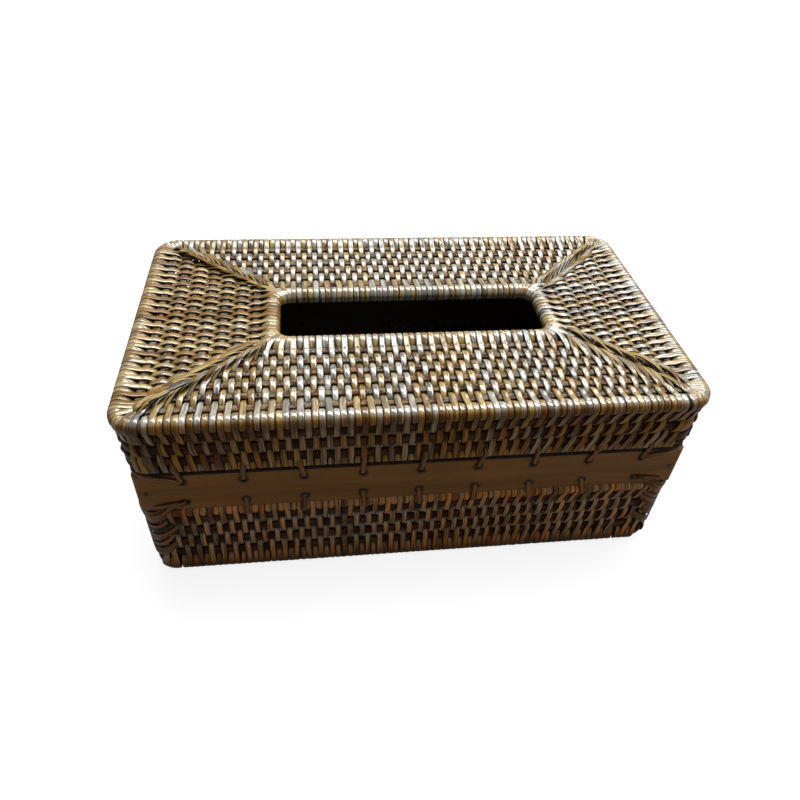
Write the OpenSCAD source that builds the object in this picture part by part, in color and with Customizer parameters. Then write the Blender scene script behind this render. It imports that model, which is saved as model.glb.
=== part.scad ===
// Tissue box cover: split cane woven over a rod frame, above and below a wooden band.
// The origin is the middle of the resting plane: +X along the length, +Y to the back, +Z up.

/* [Overall] */
// Length over the upper weave
cover_l = 260; // [220:1:320]
// Depth over the upper weave
cover_w = 151; // [130:1:190]
// Height from the table to the top of the weave
cover_h = 100; // [82:1:130]
// Outer radius of the woven upright corners
corner_r = 13.5; // [12:0.5:18]

/* [Opening] */
// Length of the slot that the tissues come out of
opening_l = 130; // [90:1:150]
// Width of the slot
opening_w = 34; // [28:1:60]
// How far the slot sits to the right of the middle
opening_x = 3; // [-6:0.5:6]
// Radius of the slot's corners at the rim rod's middle line
rim_bend_r = 6; // [5:0.5:9]

/* [Wooden band] */
// Height of the boards
band_h = 22; // [18:0.5:26]
// Thickness of the boards
board_t = 9; // [7:0.5:11]
// How far the boards sit behind the face of the upper weave
band_inset = 3.7; // [3:0.1:5]
// Rounding of the band's upright corners
board_corner_r = 2.5; // [1:0.1:4]
// Radius of the holes for the stitches
stitch_hole_r = 1.3; // [1:0.1:1.6]
// Distance from the band's upper edge to its upper holes
upper_hole_drop = 4.5; // [3.5:0.1:6]
// Distance from the band's lower edge to its lower holes
lower_hole_rise = 4.5; // [3.5:0.1:6]

/* [Rods] */
// Radius of the rods that the cane is woven over
rod_r = 1.4; // [1.1:0.05:1.5]
// Radius of the rods round the slot and round the top edge
frame_rod_r = 2.9; // [2.4:0.1:3.2]
// Radius of the rod along the lower border of the upper weave
border_rod_r = 1.1; // [0.9:0.1:1.3]
// Radius of the dark rod that lies on the band
seat_rod_r = 2.25; // [2:0.05:2.4]
// Radius of the rod that the cover stands on
base_rod_r = 3.6; // [3:0.1:4]
// Distance between the rods in the side of the upper weave
upper_pitch = 7.1; // [6.8:0.1:7.3]
// Distance from the top of the weave to the first rod in its side
first_rod_drop = 9; // [8.8:0.1:9.4]
// Distance from the last rod in the side to the border rod
border_drop = 4.2; // [4:0.1:4.4]
// Clearance between the border rod and the dark rod below it
seat_gap = 0.7; // [0.5:0.1:1.5]
// Distance aimed at between the rods in the top
top_pitch = 7.6; // [7.2:0.1:9]
// Distance aimed at between the rods in the lower weave
low_pitch = 8.2; // [7.4:0.1:9.4]
// How far the lower weave sits behind the face of the upper one
lower_inset = 2.2; // [1.5:0.1:3]

/* [Cane strips] */
// Thickness of a strip
strip_t = 0.6; // [0.4:0.05:0.7]
// Width of a strip
strip_w = 2.3; // [1.8:0.1:2.5]
// Distance between strips on the front and back
long_strip_pitch = 2.92; // [2.8:0.02:3.4]
// Distance between strips on the left and right
end_strip_pitch = 2.75; // [2.7:0.05:3.4]
// Distance between the middles of the strips that cover a mitre
mitre_strip_pitch = 2.6; // [2.5:0.1:2.8]

/* [Stitches] */
// Distance between stitches along the band
stitch_pitch = 26.4; // [24:0.1:30]
// Width of a stitch
stitch_w = 2.1; // [1.6:0.1:2.4]

/* [Hidden] */
$fn = 48;

// Clearance between a strip and what it lies on
fit_gap = 0.1;
// Step that the places of the side rings are rounded to
size_step = 0.01;
// Overrun of a cut past the face that it opens
cut_over = 1;
// Height of the flat under the base rod
base_flat = 0.4;
// Radius and length of a brad's shank, and the size of its head
brad_r = 0.6;
brad_l = 14;
brad_head_r = 0.9;
brad_head_t = 0.5;
// Room between a board and the strips hooked over the rod below it
hook_room = 0.4;
// Directions in which a strip's face points at its two ends
rim_hook_angle = 165;
border_hook_angle = -75;
base_hook_angle = -40;
top_hook_angle = 120;
// Room for a stitch that passes over a hooked strip
lap_gap = 0.3;
// Turn between two strips at a woven upright corner, and their number
corner_strips = 5;
corner_turn = 90 / corner_strips;
// Distance from the corner's middle to the start of its strips
corner_start = 8;
// Strips beside each other on a mitre
mitre_strips_n = 3;
// How far the seat rod stands out from the boards
seat_proud = 1.25;
// How far the border rod's middle sits behind the rods above it
border_back = 0.3;
// Reach of a corner lashing along the board and its climb
lash_end_inset = 4;
lash_rise = 2.4;
lash_pitch = 2.6;

strip_offset = rod_r + fit_gap + strip_t / 2;
frame_offset = frame_rod_r + fit_gap + strip_t / 2;
frame_reach = frame_rod_r + fit_gap + strip_t;
border_offset = border_rod_r + fit_gap + strip_t / 2;
base_offset = base_rod_r + fit_gap + strip_t / 2;
base_reach = base_rod_r + fit_gap + strip_t;

// Heights from the top downwards
upper_rods = 3;
upper_rod_z = [for (k = [0:upper_rods - 1]) cover_h - first_rod_drop - k * upper_pitch];
border_z = upper_rod_z[upper_rods - 1] - border_drop;
seat_z = border_z - border_rod_r - seat_gap - seat_rod_r;
band_top = seat_z - seat_rod_r;
band_z = band_top - band_h;
lower_border_z = band_z - hook_room - strip_t - fit_gap - rod_r;
base_ring_z = base_rod_r - base_flat;
lower_top_step_share = 0.7;
lower_room = lower_border_z - base_ring_z;
lower_rods = max(1, round(lower_room / low_pitch - lower_top_step_share));
lower_pitch = tidy(lower_room / (lower_rods + lower_top_step_share));
lower_rod_z = [for (k = [1:lower_rods]) base_ring_z + k * lower_pitch];
frame_z = cover_h - frame_reach;

// Distances from the outer face of the upper weave to the middle of each ring
frame_in = frame_reach;
upper_rod_in = tidy(weave_half(upper_pitch));
border_in = upper_rod_in + border_back;
seat_in = band_inset + seat_rod_r - seat_proud;
lower_rod_in = lower_inset + tidy(weave_half(lower_pitch));
base_in = lower_inset + base_reach;

upper_hole_z = band_top - upper_hole_drop;
lower_hole_z = band_z + lower_hole_rise;
board_out_l = cover_l / 2 - band_inset;
board_out_w = cover_w / 2 - band_inset;

// Number of rods that share a panel between the rim rod and the edge rod
function rods_in(room) = max(1, round(room / top_pitch) - 1);

// A panel: facing, outer distance, slot edge distance, slot middle and half length
// across the panel, outer half width, rods, distance between strips
front_panel = [-90, cover_w / 2, opening_w / 2, opening_x, opening_l / 2, cover_l / 2,
               rods_in((cover_w - opening_w) / 2 - 2 * frame_reach), long_strip_pitch];
back_panel = [90, cover_w / 2, opening_w / 2, -opening_x, opening_l / 2, cover_l / 2,
              rods_in((cover_w - opening_w) / 2 - 2 * frame_reach), long_strip_pitch];
right_panel = [0, cover_l / 2, opening_l / 2 + opening_x, 0, opening_w / 2, cover_w / 2,
               rods_in((cover_l - opening_l) / 2 - opening_x - 2 * frame_reach), end_strip_pitch];
left_panel = [180, cover_l / 2, opening_l / 2 - opening_x, 0, opening_w / 2, cover_w / 2,
              rods_in((cover_l - opening_l) / 2 + opening_x - 2 * frame_reach), end_strip_pitch];

// A line is [direction of its left normal, distance from the origin along it].
function meet(a, b) =
  [a[1] * sin(b[0]) - b[1] * sin(a[0]), b[1] * cos(a[0]) - a[1] * cos(b[0])] / sin(b[0] - a[0]);
function line_through(p, q) =
  let (a = atan2(q[0] - p[0], p[1] - q[1])) [a, p[0] * cos(a) + p[1] * sin(a)];
function beside(l, d) = [l[0], l[1] + d];
// The outline of a strip that follows lines; the first and the last line cut its ends.
function band(lines, t) =
  let (n = len(lines) - 1, side = function(d) [for (i = [0:n - 1])
    meet(beside(lines[i], i == 0 ? 0 : d), beside(lines[i + 1], i + 1 == n ? 0 : d))],
    inner = side(-t / 2))
  concat(side(t / 2), [for (i = [n - 1:-1:0]) inner[i]]);
function band_through(points, t) =
  let (n = len(points) - 1, first = line_through(points[0], points[1]),
    last = line_through(points[n - 1], points[n]))
  band(concat([crossing(first, points[0])],
    [for (i = [0:n - 1]) line_through(points[i], points[i + 1])],
    [crossing(last, points[n])]), t);
function crossing(l, p) = let (a = l[0] - 90) [a, p[0] * cos(a) + p[1] * sin(a)];

// A post is [x, y, distance kept, side passed (1 left, -1 right), spare lines round it].
function around(c, a) = [a, c[0] * cos(a) + c[1] * sin(a) + c[3] * c[2]];
function cut_at(c, a) = [a - 90, c[0] * cos(a - 90) + c[1] * sin(a - 90)];
function turn(a, b) = -(((a - b) % 360 + 360) % 360);
function tangent(a, b) =
  let (d = [b[0] - a[0], b[1] - a[1]],
    n = atan2(d[1], d[0]) + acos((a[3] * a[2] - b[3] * b[2]) / norm(d)))
  around(a, n);
function wrap(c, a, b) =
  c[4] == 0 ? [] : [for (j = [1:c[4]]) around(c, a + turn(a, b) * j / (c[4] + 1))];
function belt(posts) =
  let (n = len(posts) - 1, t = [for (i = [0:n - 1]) tangent(posts[i], posts[i + 1])])
  [for (i = [0:n - 1]) each concat([t[i]], i < n - 1 ? wrap(posts[i + 1], t[i][0], t[i + 1][0]) : [])];
// A strip from a hook on its first post, or from a cut, to a hook on its last post
function hooked(posts, start, end) =
  let (lines = belt(posts), c = posts[0], e = posts[len(posts) - 1], l = lines[len(lines) - 1])
  concat([cut_at(c, start), around(c, start)], wrap(c, start, lines[0][0]), lines,
    wrap(e, l[0], end), [around(e, end), cut_at(e, end)]);
function started(posts, u, end) =
  let (lines = belt(posts), e = posts[len(posts) - 1], l = lines[len(lines) - 1])
  concat([[0, u], around(posts[0], 90)], wrap(posts[0], 90, lines[0][0]), lines,
    wrap(e, l[0], end), [around(e, end), cut_at(e, end)]);

// A size kept to whole steps, so that the bends and straights of a ring meet exactly
function tidy(x) = round(x / size_step) * size_step;
// Height of a strip's crest over rods at a pitch, and half the thickness of that weave
function crest(p) = strip_offset * p / sqrt(p * p - 4 * strip_offset * strip_offset);
function weave_half(p) = crest(p) * (1 + strip_t / 2 / strip_offset);
function passed(k, phase) = (k + phase) % 2 == 0 ? 1 : -1;

function panel_pitch(q) = (q[1] - q[2] - 2 * frame_reach) / (q[6] + 1);
function panel_rod_u(q, k) = q[2] + frame_reach + k * panel_pitch(q);
function panel_rod_z(q) = cover_h - weave_half(panel_pitch(q));
// Half width of the slot and of the panel on one side of the slot's middle
function panel_edge(q, s) = q[4] + s * q[3];
function mitre_slope(q, s) = (q[1] - q[2]) / (q[5] - panel_edge(q, s));
mitre_half = ((mitre_strips_n - 1) * mitre_strip_pitch + strip_w) / 2 + fit_gap;
// Where a strip at p across the panel can start, clear of the mitre's own strips
function strip_start(q, p) =
  let (s = sign(p - q[3]), m = mitre_slope(q, s))
  q[2] + m * (abs(p) + strip_w / 2 - panel_edge(q, s)) + mitre_half * sqrt(1 + m * m);

// The posts of the skirt below the top edge, from the outer face u_out
function skirt_posts(u_out, phase) = concat(
  [[u_out - frame_in, frame_z, frame_offset, 1, 2]],
  [for (k = [0:upper_rods - 1]) [u_out - upper_rod_in, upper_rod_z[k], strip_offset, passed(k, phase), 0]],
  [[u_out - border_in, border_z, border_offset, 1, 1]]);
// Whether a strip lies on a straight stretch of the rim rod, and so hooks over it
function meets_rim(q, p) = abs(p - q[3]) + strip_w / 2 + fit_gap < q[4] + frame_reach - rim_bend_r;
function upper_outline(q, p, phase) =
  let (full = meets_rim(q, p), z = panel_rod_z(q),
    u0 = full ? q[2] : max(strip_start(q, p), q[2] + 2 * frame_reach),
    rods = [for (k = [1:q[6]]) if (panel_rod_u(q, k) > u0 + rod_r)
      [panel_rod_u(q, k), z, strip_offset, passed(q[6] - k + 1, phase), 0]],
    rim = [q[2] + frame_reach, frame_z, frame_offset, 1, 2])
  band(full ? hooked(concat([rim], rods, skirt_posts(q[1], phase)), rim_hook_angle, border_hook_angle)
    : started(concat(rods, skirt_posts(q[1], phase)), u0, border_hook_angle), strip_t);
function lower_posts(u_out, phase) = concat(
  [[u_out - lower_rod_in, lower_border_z, strip_offset, 1, 2]],
  [for (k = [lower_rods - 1:-1:0]) [u_out - lower_rod_in, lower_rod_z[k], strip_offset, passed(k, phase), 0]],
  [[u_out - base_in, base_ring_z, base_offset, 1, 0]]);
function lower_outline(u_out, phase) = band(hooked(lower_posts(u_out, phase), top_hook_angle, base_hook_angle), strip_t);

// Turns the drawing plane so that its x points out of a side and its y points up
module facing(angle, p = 0) rotate([0, 0, angle]) translate([0, p, 0]) rotate([90, 0, 0]) children();
module strip(outline, w = strip_w) linear_extrude(w, center = true) polygon(outline);

// Places across a side for strips at a pitch between its rounded corners
function strip_places(half_w, pitch) =
  let (n = floor((2 * (half_w - corner_r - lap_gap) - strip_w) / pitch)) [for (i = [0:n]) (i - n / 2) * pitch];

module upper_strips(q)
  for (i = [0:len(strip_places(q[5], q[7])) - 1])
    let (p = strip_places(q[5], q[7])[i]) facing(q[0], p) strip(upper_outline(q, p, i % 2));
module lower_strips(q)
  for (i = [0:len(strip_places(q[5], q[7])) - 1])
    facing(q[0], strip_places(q[5], q[7])[i]) strip(lower_outline(q[1], i % 2));

module at_corners(half_l = cover_l / 2, half_w = cover_w / 2, r = corner_r)
  for (c = [[1, 1, 0], [-1, 1, 90], [-1, -1, 180], [1, -1, 270]])
    translate([c[0] * (half_l - r), c[1] * (half_w - r), 0]) rotate([0, 0, c[2]]) children();

// A closed loop of rod with straight sides and bent corners, inset from a plan outline
module ring(half_l, half_w, bend_r, r, z) {
  for (s = [-1, 1]) {
    translate([s * half_l, 0, z]) rotate([90, 0, 0]) cylinder(r = r, h = 2 * (half_w - bend_r), center = true);
    translate([0, s * half_w, z]) rotate([0, 90, 0]) cylinder(r = r, h = 2 * (half_l - bend_r), center = true);
  }
  translate([0, 0, z]) at_corners(half_l, half_w, bend_r)
    rotate_extrude(angle = 90) translate([bend_r, 0]) circle(r);
}
module inset_ring(inset, r, z) ring(cover_l / 2 - inset, cover_w / 2 - inset, corner_r - inset, r, z);

module rim_ring() color("#4a3f2e") translate([opening_x, 0, 0])
  ring(opening_l / 2 + frame_reach, opening_w / 2 + frame_reach, rim_bend_r, frame_rod_r, frame_z);
module edge_ring() color("#3f3c34") inset_ring(frame_in, frame_rod_r, frame_z);
module upper_side_ring(k) color("#3a3026") inset_ring(upper_rod_in, rod_r, upper_rod_z[k - 1]);
module upper_border_ring() color("#3a3026") inset_ring(border_in, border_rod_r, border_z);
module seat_ring() color("#16110d") inset_ring(seat_in, seat_rod_r, seat_z);
module lower_border_ring() color("#3a3026") inset_ring(lower_rod_in, rod_r, lower_border_z);
module lower_side_rings() color("#3a3026") for (z = lower_rod_z) inset_ring(lower_rod_in, rod_r, z);
module base_ring() color("#33281d") difference() {
  inset_ring(base_in, base_rod_r, base_ring_z);
  translate([-cover_l / 2, -cover_w / 2, -cut_over - base_rod_r]) cube([cover_l, cover_w, base_rod_r + cut_over]);
}

// The straight rods of a top panel, each cut at the mitres
module panel_rods(q) color("#3a3026") for (k = [1:q[6]]) {
  u = panel_rod_u(q, k);
  reach = [for (s = [-1, 1]) panel_edge(q, s) + (u - rod_r - q[2]) / mitre_slope(q, s) - fit_gap];
  facing(q[0]) translate([u, panel_rod_z(q), -reach[1]]) cylinder(r = rod_r, h = reach[0] + reach[1]);
}

// Places of the stitches along a board, from the middle outwards
function stitch_places(half_l) =
  let (n = floor((half_l - corner_r) / stitch_pitch)) [for (i = [-n:n]) i * stitch_pitch];
function inner_stitches(half_l) = let (s = stitch_places(half_l)) [for (i = [1:len(s) - 2]) s[i]];

module board_holes(half_l, out)
  for (p = stitch_places(half_l), z = [upper_hole_z, lower_hole_z])
    translate([p, out + cut_over, z]) rotate([90, 0, 0]) cylinder(r = stitch_hole_r, h = board_t + 2 * cut_over);
module brad_places()
  for (sx = [-1, 1], sy = [-1, 1])
    translate([sx * (board_out_l - board_t / 2), sy * board_out_w, band_z + band_h / 2])
      rotate([sy * 90, 0, 0]) children();

module long_board(side) color("#6a4426") difference() {
  union() {
    translate([-board_out_l + board_corner_r, side > 0 ? board_out_w - board_t : -board_out_w, band_z])
      cube([2 * (board_out_l - board_corner_r), board_t, band_h]);
    translate([-board_out_l, side > 0 ? board_out_w - board_t : -board_out_w + board_corner_r, band_z])
      cube([2 * board_out_l, board_t - board_corner_r, band_h]);
    for (sx = [-1, 1]) translate([sx * (board_out_l - board_corner_r), side * (board_out_w - board_corner_r), band_z])
      cylinder(r = board_corner_r, h = band_h);
  }
  rotate([0, 0, side > 0 ? 0 : 180]) board_holes(cover_l / 2, board_out_w);
  brad_places() translate([0, 0, -cut_over]) cylinder(r = brad_r + fit_gap, h = board_t + 2 * cut_over);
}
module end_board(side) color("#6a4426") difference() {
  translate([side > 0 ? board_out_l - board_t : -board_out_l, -board_out_w + board_t, band_z])
    cube([board_t, 2 * (board_out_w - board_t), band_h]);
  rotate([0, 0, -side * 90]) board_holes(cover_w / 2, board_out_l);
  brad_places() cylinder(r = brad_r + fit_gap, h = brad_l + fit_gap);
}
module corner_brads() color("#2a2420") brad_places() {
  cylinder(r = brad_r, h = brad_l);
  translate([0, 0, -brad_head_t]) cylinder(r = brad_head_r, h = brad_head_t);
}

// Strips fanned round each upright corner, from the outlines of the two weaves' strips
module corner_strips_of(outlines)
  at_corners() for (i = [0:corner_strips - 1])
    rotate([0, 0, (i + 1 / 2) * corner_turn]) rotate([90, 0, 0]) strip(outlines[i % 2]);
module upper_corner_strips() color("#7d6a48") corner_strips_of(
  [for (phase = [0, 1]) band(started(skirt_posts(corner_r, phase), corner_start, border_hook_angle), strip_t)]);
module lower_corner_strips() color("#6b5638") corner_strips_of(
  [for (phase = [0, 1]) lower_outline(corner_r, phase)]);

// Flat strips side by side along the line from a corner of the slot to a corner of the top
module mitre(sx, sy) {
  from = [opening_x + sx * opening_l / 2, sy * opening_w / 2];
  to = [sx * cover_l / 2, sy * cover_w / 2];
  dir = atan2(to[1] - from[1], to[0] - from[0]);
  bend = to - [sx * corner_r, sy * corner_r] - from;
  bend_along = bend[0] * cos(dir) + bend[1] * sin(dir);
  bend_across = bend[1] * cos(dir) - bend[0] * sin(dir);
  for (i = [0:mitre_strips_n - 1]) {
    across = (i - (mitre_strips_n - 1) / 2) * mitre_strip_pitch;
    aside = abs(across - bend_across) + strip_w / 2;
    end = bend_along + sqrt(corner_start * corner_start - aside * aside) - fit_gap;
    translate([from[0], from[1], cover_h - strip_t]) rotate([0, 0, dir])
      translate([frame_reach, across - strip_w / 2, 0]) cube([end - frame_reach, strip_w, strip_t]);
  }
}
module mitre_strips() color("#8d7a52") for (sx = [-1, 1], sy = [-1, 1]) mitre(sx, sy);

// A stitch passes through the board, up or down its outer face and along its edge inside
function upper_stitch(u) =
  let (face = u - band_inset + fit_gap + strip_t / 2, back = u - band_inset - board_t - fit_gap - strip_t / 2,
    lap = u - border_in + border_rod_r + fit_gap + strip_t + lap_gap + strip_t / 2)
  [[[u - band_inset - board_t / 2 + fit_gap, upper_hole_z], [face, upper_hole_z],
    [u - seat_in + seat_rod_r + fit_gap + strip_t / 2, seat_z], [lap, border_z - border_rod_r], [lap, border_z]],
   [[u - band_inset - board_t / 2 - fit_gap, upper_hole_z], [back, upper_hole_z],
    [back, band_top + fit_gap + strip_t / 2], [u - seat_in - seat_rod_r - fit_gap, band_top + fit_gap + strip_t / 2]]];
function lower_stitch(u) =
  let (face = u - band_inset + fit_gap + strip_t / 2, back = u - band_inset - board_t - fit_gap - strip_t / 2,
    lap = u - lower_rod_in + rod_r + fit_gap + strip_t + lap_gap + strip_t / 2)
  [[[u - band_inset - board_t / 2 + fit_gap, lower_hole_z], [face, lower_hole_z],
    [lap, lower_border_z + rod_r], [lap, lower_border_z - rod_r / 2]],
   [[u - band_inset - board_t / 2 - fit_gap, lower_hole_z], [back, lower_hole_z],
    [back, band_z - fit_gap - strip_t / 2],
    [u - lower_rod_in - rod_r - 2 * (fit_gap + strip_t), band_z - fit_gap - strip_t / 2]]];
module stitches(u, half_l, legs, angle)
  for (p = inner_stitches(half_l), leg = legs) facing(angle, p) strip(band_through(leg, strip_t), stitch_w);
module all_stitches(long_legs, end_legs) {
  for (angle = [-90, 90]) stitches(cover_w / 2, cover_l / 2, long_legs, angle);
  for (angle = [0, 180]) stitches(cover_l / 2, cover_w / 2, end_legs, angle);
}
module upper_stitches() color("#5b4a33") all_stitches(upper_stitch(cover_w / 2), upper_stitch(cover_l / 2));
module lower_stitches() color("#5b4a33") all_stitches(lower_stitch(cover_w / 2), lower_stitch(cover_l / 2));

// Flat strips from the last hole of a board to the band's upright corner
module lashing(half_out, half_l, rise, z, angle)
  for (s = [-1, 1]) {
    hole = stitch_places(half_l)[0];
    run = half_l - band_inset - lash_end_inset + hole;
    rotate([0, 0, angle]) translate([half_out - band_inset + fit_gap, s * -hole, z])
      rotate([s * atan2(rise, run), 0, 0]) translate([0, s > 0 ? 0 : -run, -stitch_w / 2]) cube([strip_t, run, stitch_w]);
  }
module lashings(rise, z) {
  for (angle = [-90, 90]) lashing(cover_w / 2, cover_l / 2, rise, z, angle);
  for (angle = [0, 180]) lashing(cover_l / 2, cover_w / 2, rise, z, angle);
}
module upper_corner_lashings() color("#5b4a33") lashings(lash_rise, upper_hole_z);
module lower_corner_lashings() color("#5b4a33") for (i = [0:1]) lashings(-i * lash_rise / 2, lower_hole_z - i * lash_pitch);

long_board(-1);  // front_board
long_board(1);  // back_board
end_board(-1);  // left_board
end_board(1);  // right_board
corner_brads();
rim_ring();
edge_ring();
for (k = [1:upper_rods]) upper_side_ring(k);
upper_border_ring();
seat_ring();
lower_border_ring();
lower_side_rings();
base_ring();
panel_rods(front_panel);  // front_rods
panel_rods(back_panel);  // back_rods
panel_rods(left_panel);  // left_rods
panel_rods(right_panel);  // right_rods
color("#8f7a50") upper_strips(front_panel);  // front_upper_strips
color("#8f7a50") upper_strips(back_panel);  // back_upper_strips
color("#9a7f4e") upper_strips(left_panel);  // left_upper_strips
color("#9a7f4e") upper_strips(right_panel);  // right_upper_strips
color("#6b5638") lower_strips(front_panel);  // front_lower_strips
color("#6b5638") lower_strips(back_panel);  // back_lower_strips
color("#6b5638") lower_strips(left_panel);  // left_lower_strips
color("#6b5638") lower_strips(right_panel);  // right_lower_strips
upper_corner_strips();
lower_corner_strips();
mitre_strips();
upper_stitches();
lower_stitches();
upper_corner_lashings();
lower_corner_lashings();
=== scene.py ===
"""Dresses a woven cane tissue box cover with a wooden band.

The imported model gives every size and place. Its cane strips are even and straight, so
this script weaves them again one by one: each strip gets a middle line that goes over and
under the rods, and one Geometry Nodes tree sweeps a domed section along it. The rods that
the strips hide are flat ovals made in the same way. The round rods, the seat rod, the
boards and the brads keep their solids and get a finish each.

Lengths are in millimetres until a mesh or a material is made, and those are in metres. The
frame is the model's own: X along the cover, Y across it with the front at -Y, Z up from the
table.
"""
import logging
import math
from dataclasses import dataclass, field
from enum import Enum
from typing import Any

import bpy
import numpy as np
from mathutils import Matrix, Vector


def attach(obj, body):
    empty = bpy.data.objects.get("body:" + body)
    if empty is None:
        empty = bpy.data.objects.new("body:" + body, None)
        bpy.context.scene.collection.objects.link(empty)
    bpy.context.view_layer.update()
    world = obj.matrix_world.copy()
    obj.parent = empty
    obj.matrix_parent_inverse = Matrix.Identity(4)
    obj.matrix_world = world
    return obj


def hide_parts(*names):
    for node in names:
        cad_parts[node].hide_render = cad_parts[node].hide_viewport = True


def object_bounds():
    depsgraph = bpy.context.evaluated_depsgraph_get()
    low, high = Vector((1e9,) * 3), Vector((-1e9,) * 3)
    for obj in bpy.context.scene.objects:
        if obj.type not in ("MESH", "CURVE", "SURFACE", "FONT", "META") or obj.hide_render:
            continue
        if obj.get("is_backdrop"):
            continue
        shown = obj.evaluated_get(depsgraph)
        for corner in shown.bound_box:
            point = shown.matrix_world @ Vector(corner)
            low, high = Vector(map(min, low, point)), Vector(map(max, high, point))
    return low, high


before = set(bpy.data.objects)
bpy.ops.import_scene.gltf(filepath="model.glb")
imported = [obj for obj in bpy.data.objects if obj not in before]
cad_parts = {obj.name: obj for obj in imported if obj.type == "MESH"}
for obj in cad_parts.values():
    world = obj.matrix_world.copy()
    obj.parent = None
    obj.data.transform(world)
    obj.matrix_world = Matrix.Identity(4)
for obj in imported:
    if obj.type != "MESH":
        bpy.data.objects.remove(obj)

MM = 0.001
LOG = logging.getLogger("cover")

# The span, in radians, of the start of a random wave.
FULL_TURN = 6.28
# Between which shares of the way from one rod to the next a strip changes over.
EASE = (0.08, 0.92)

Array = np.ndarray
Rng = np.random.Generator
Material = bpy.types.Material
Three = tuple[float, float, float]
Colour = Three
Span = tuple[float, float]
Socket = bpy.types.NodeSocket


# ---------------------------------------------------------------- sizes


class Side(Enum):
    """The four sides of the cover, each with the direction that it faces, in degrees."""

    FRONT = -90.0
    BACK = 90.0
    LEFT = 180.0
    RIGHT = 0.0

    @property
    def title(self) -> str:
        """The side's name in small letters."""
        return self.name.lower()

    @property
    def long(self) -> bool:
        """Whether this is one of the two long sides."""
        return self in (Side.FRONT, Side.BACK)

    def world(self, p: Array, u: Array, z: Array) -> Array:
        """Turns a side's own places into the cover's frame.

        Args:
            p: the distance along the side from its middle.
            u: the distance outwards from the cover's middle.
            z: the height.

        Returns:
            An array of points.
        """
        cos, sin = math.cos(math.radians(self.value)), math.sin(math.radians(self.value))
        return np.stack([u * cos - p * sin, u * sin + p * cos, z + 0.0 * p], axis=-1)


@dataclass(frozen=True)
class RodPlace:
    """Where a rod lies that runs along the outline.

    Attributes:
        inset: how far its middle is inside the outline.
        z: the height of its middle.
        bend: the radius of a strip's middle line round it.
    """

    inset: float
    z: float
    bend: float


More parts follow.
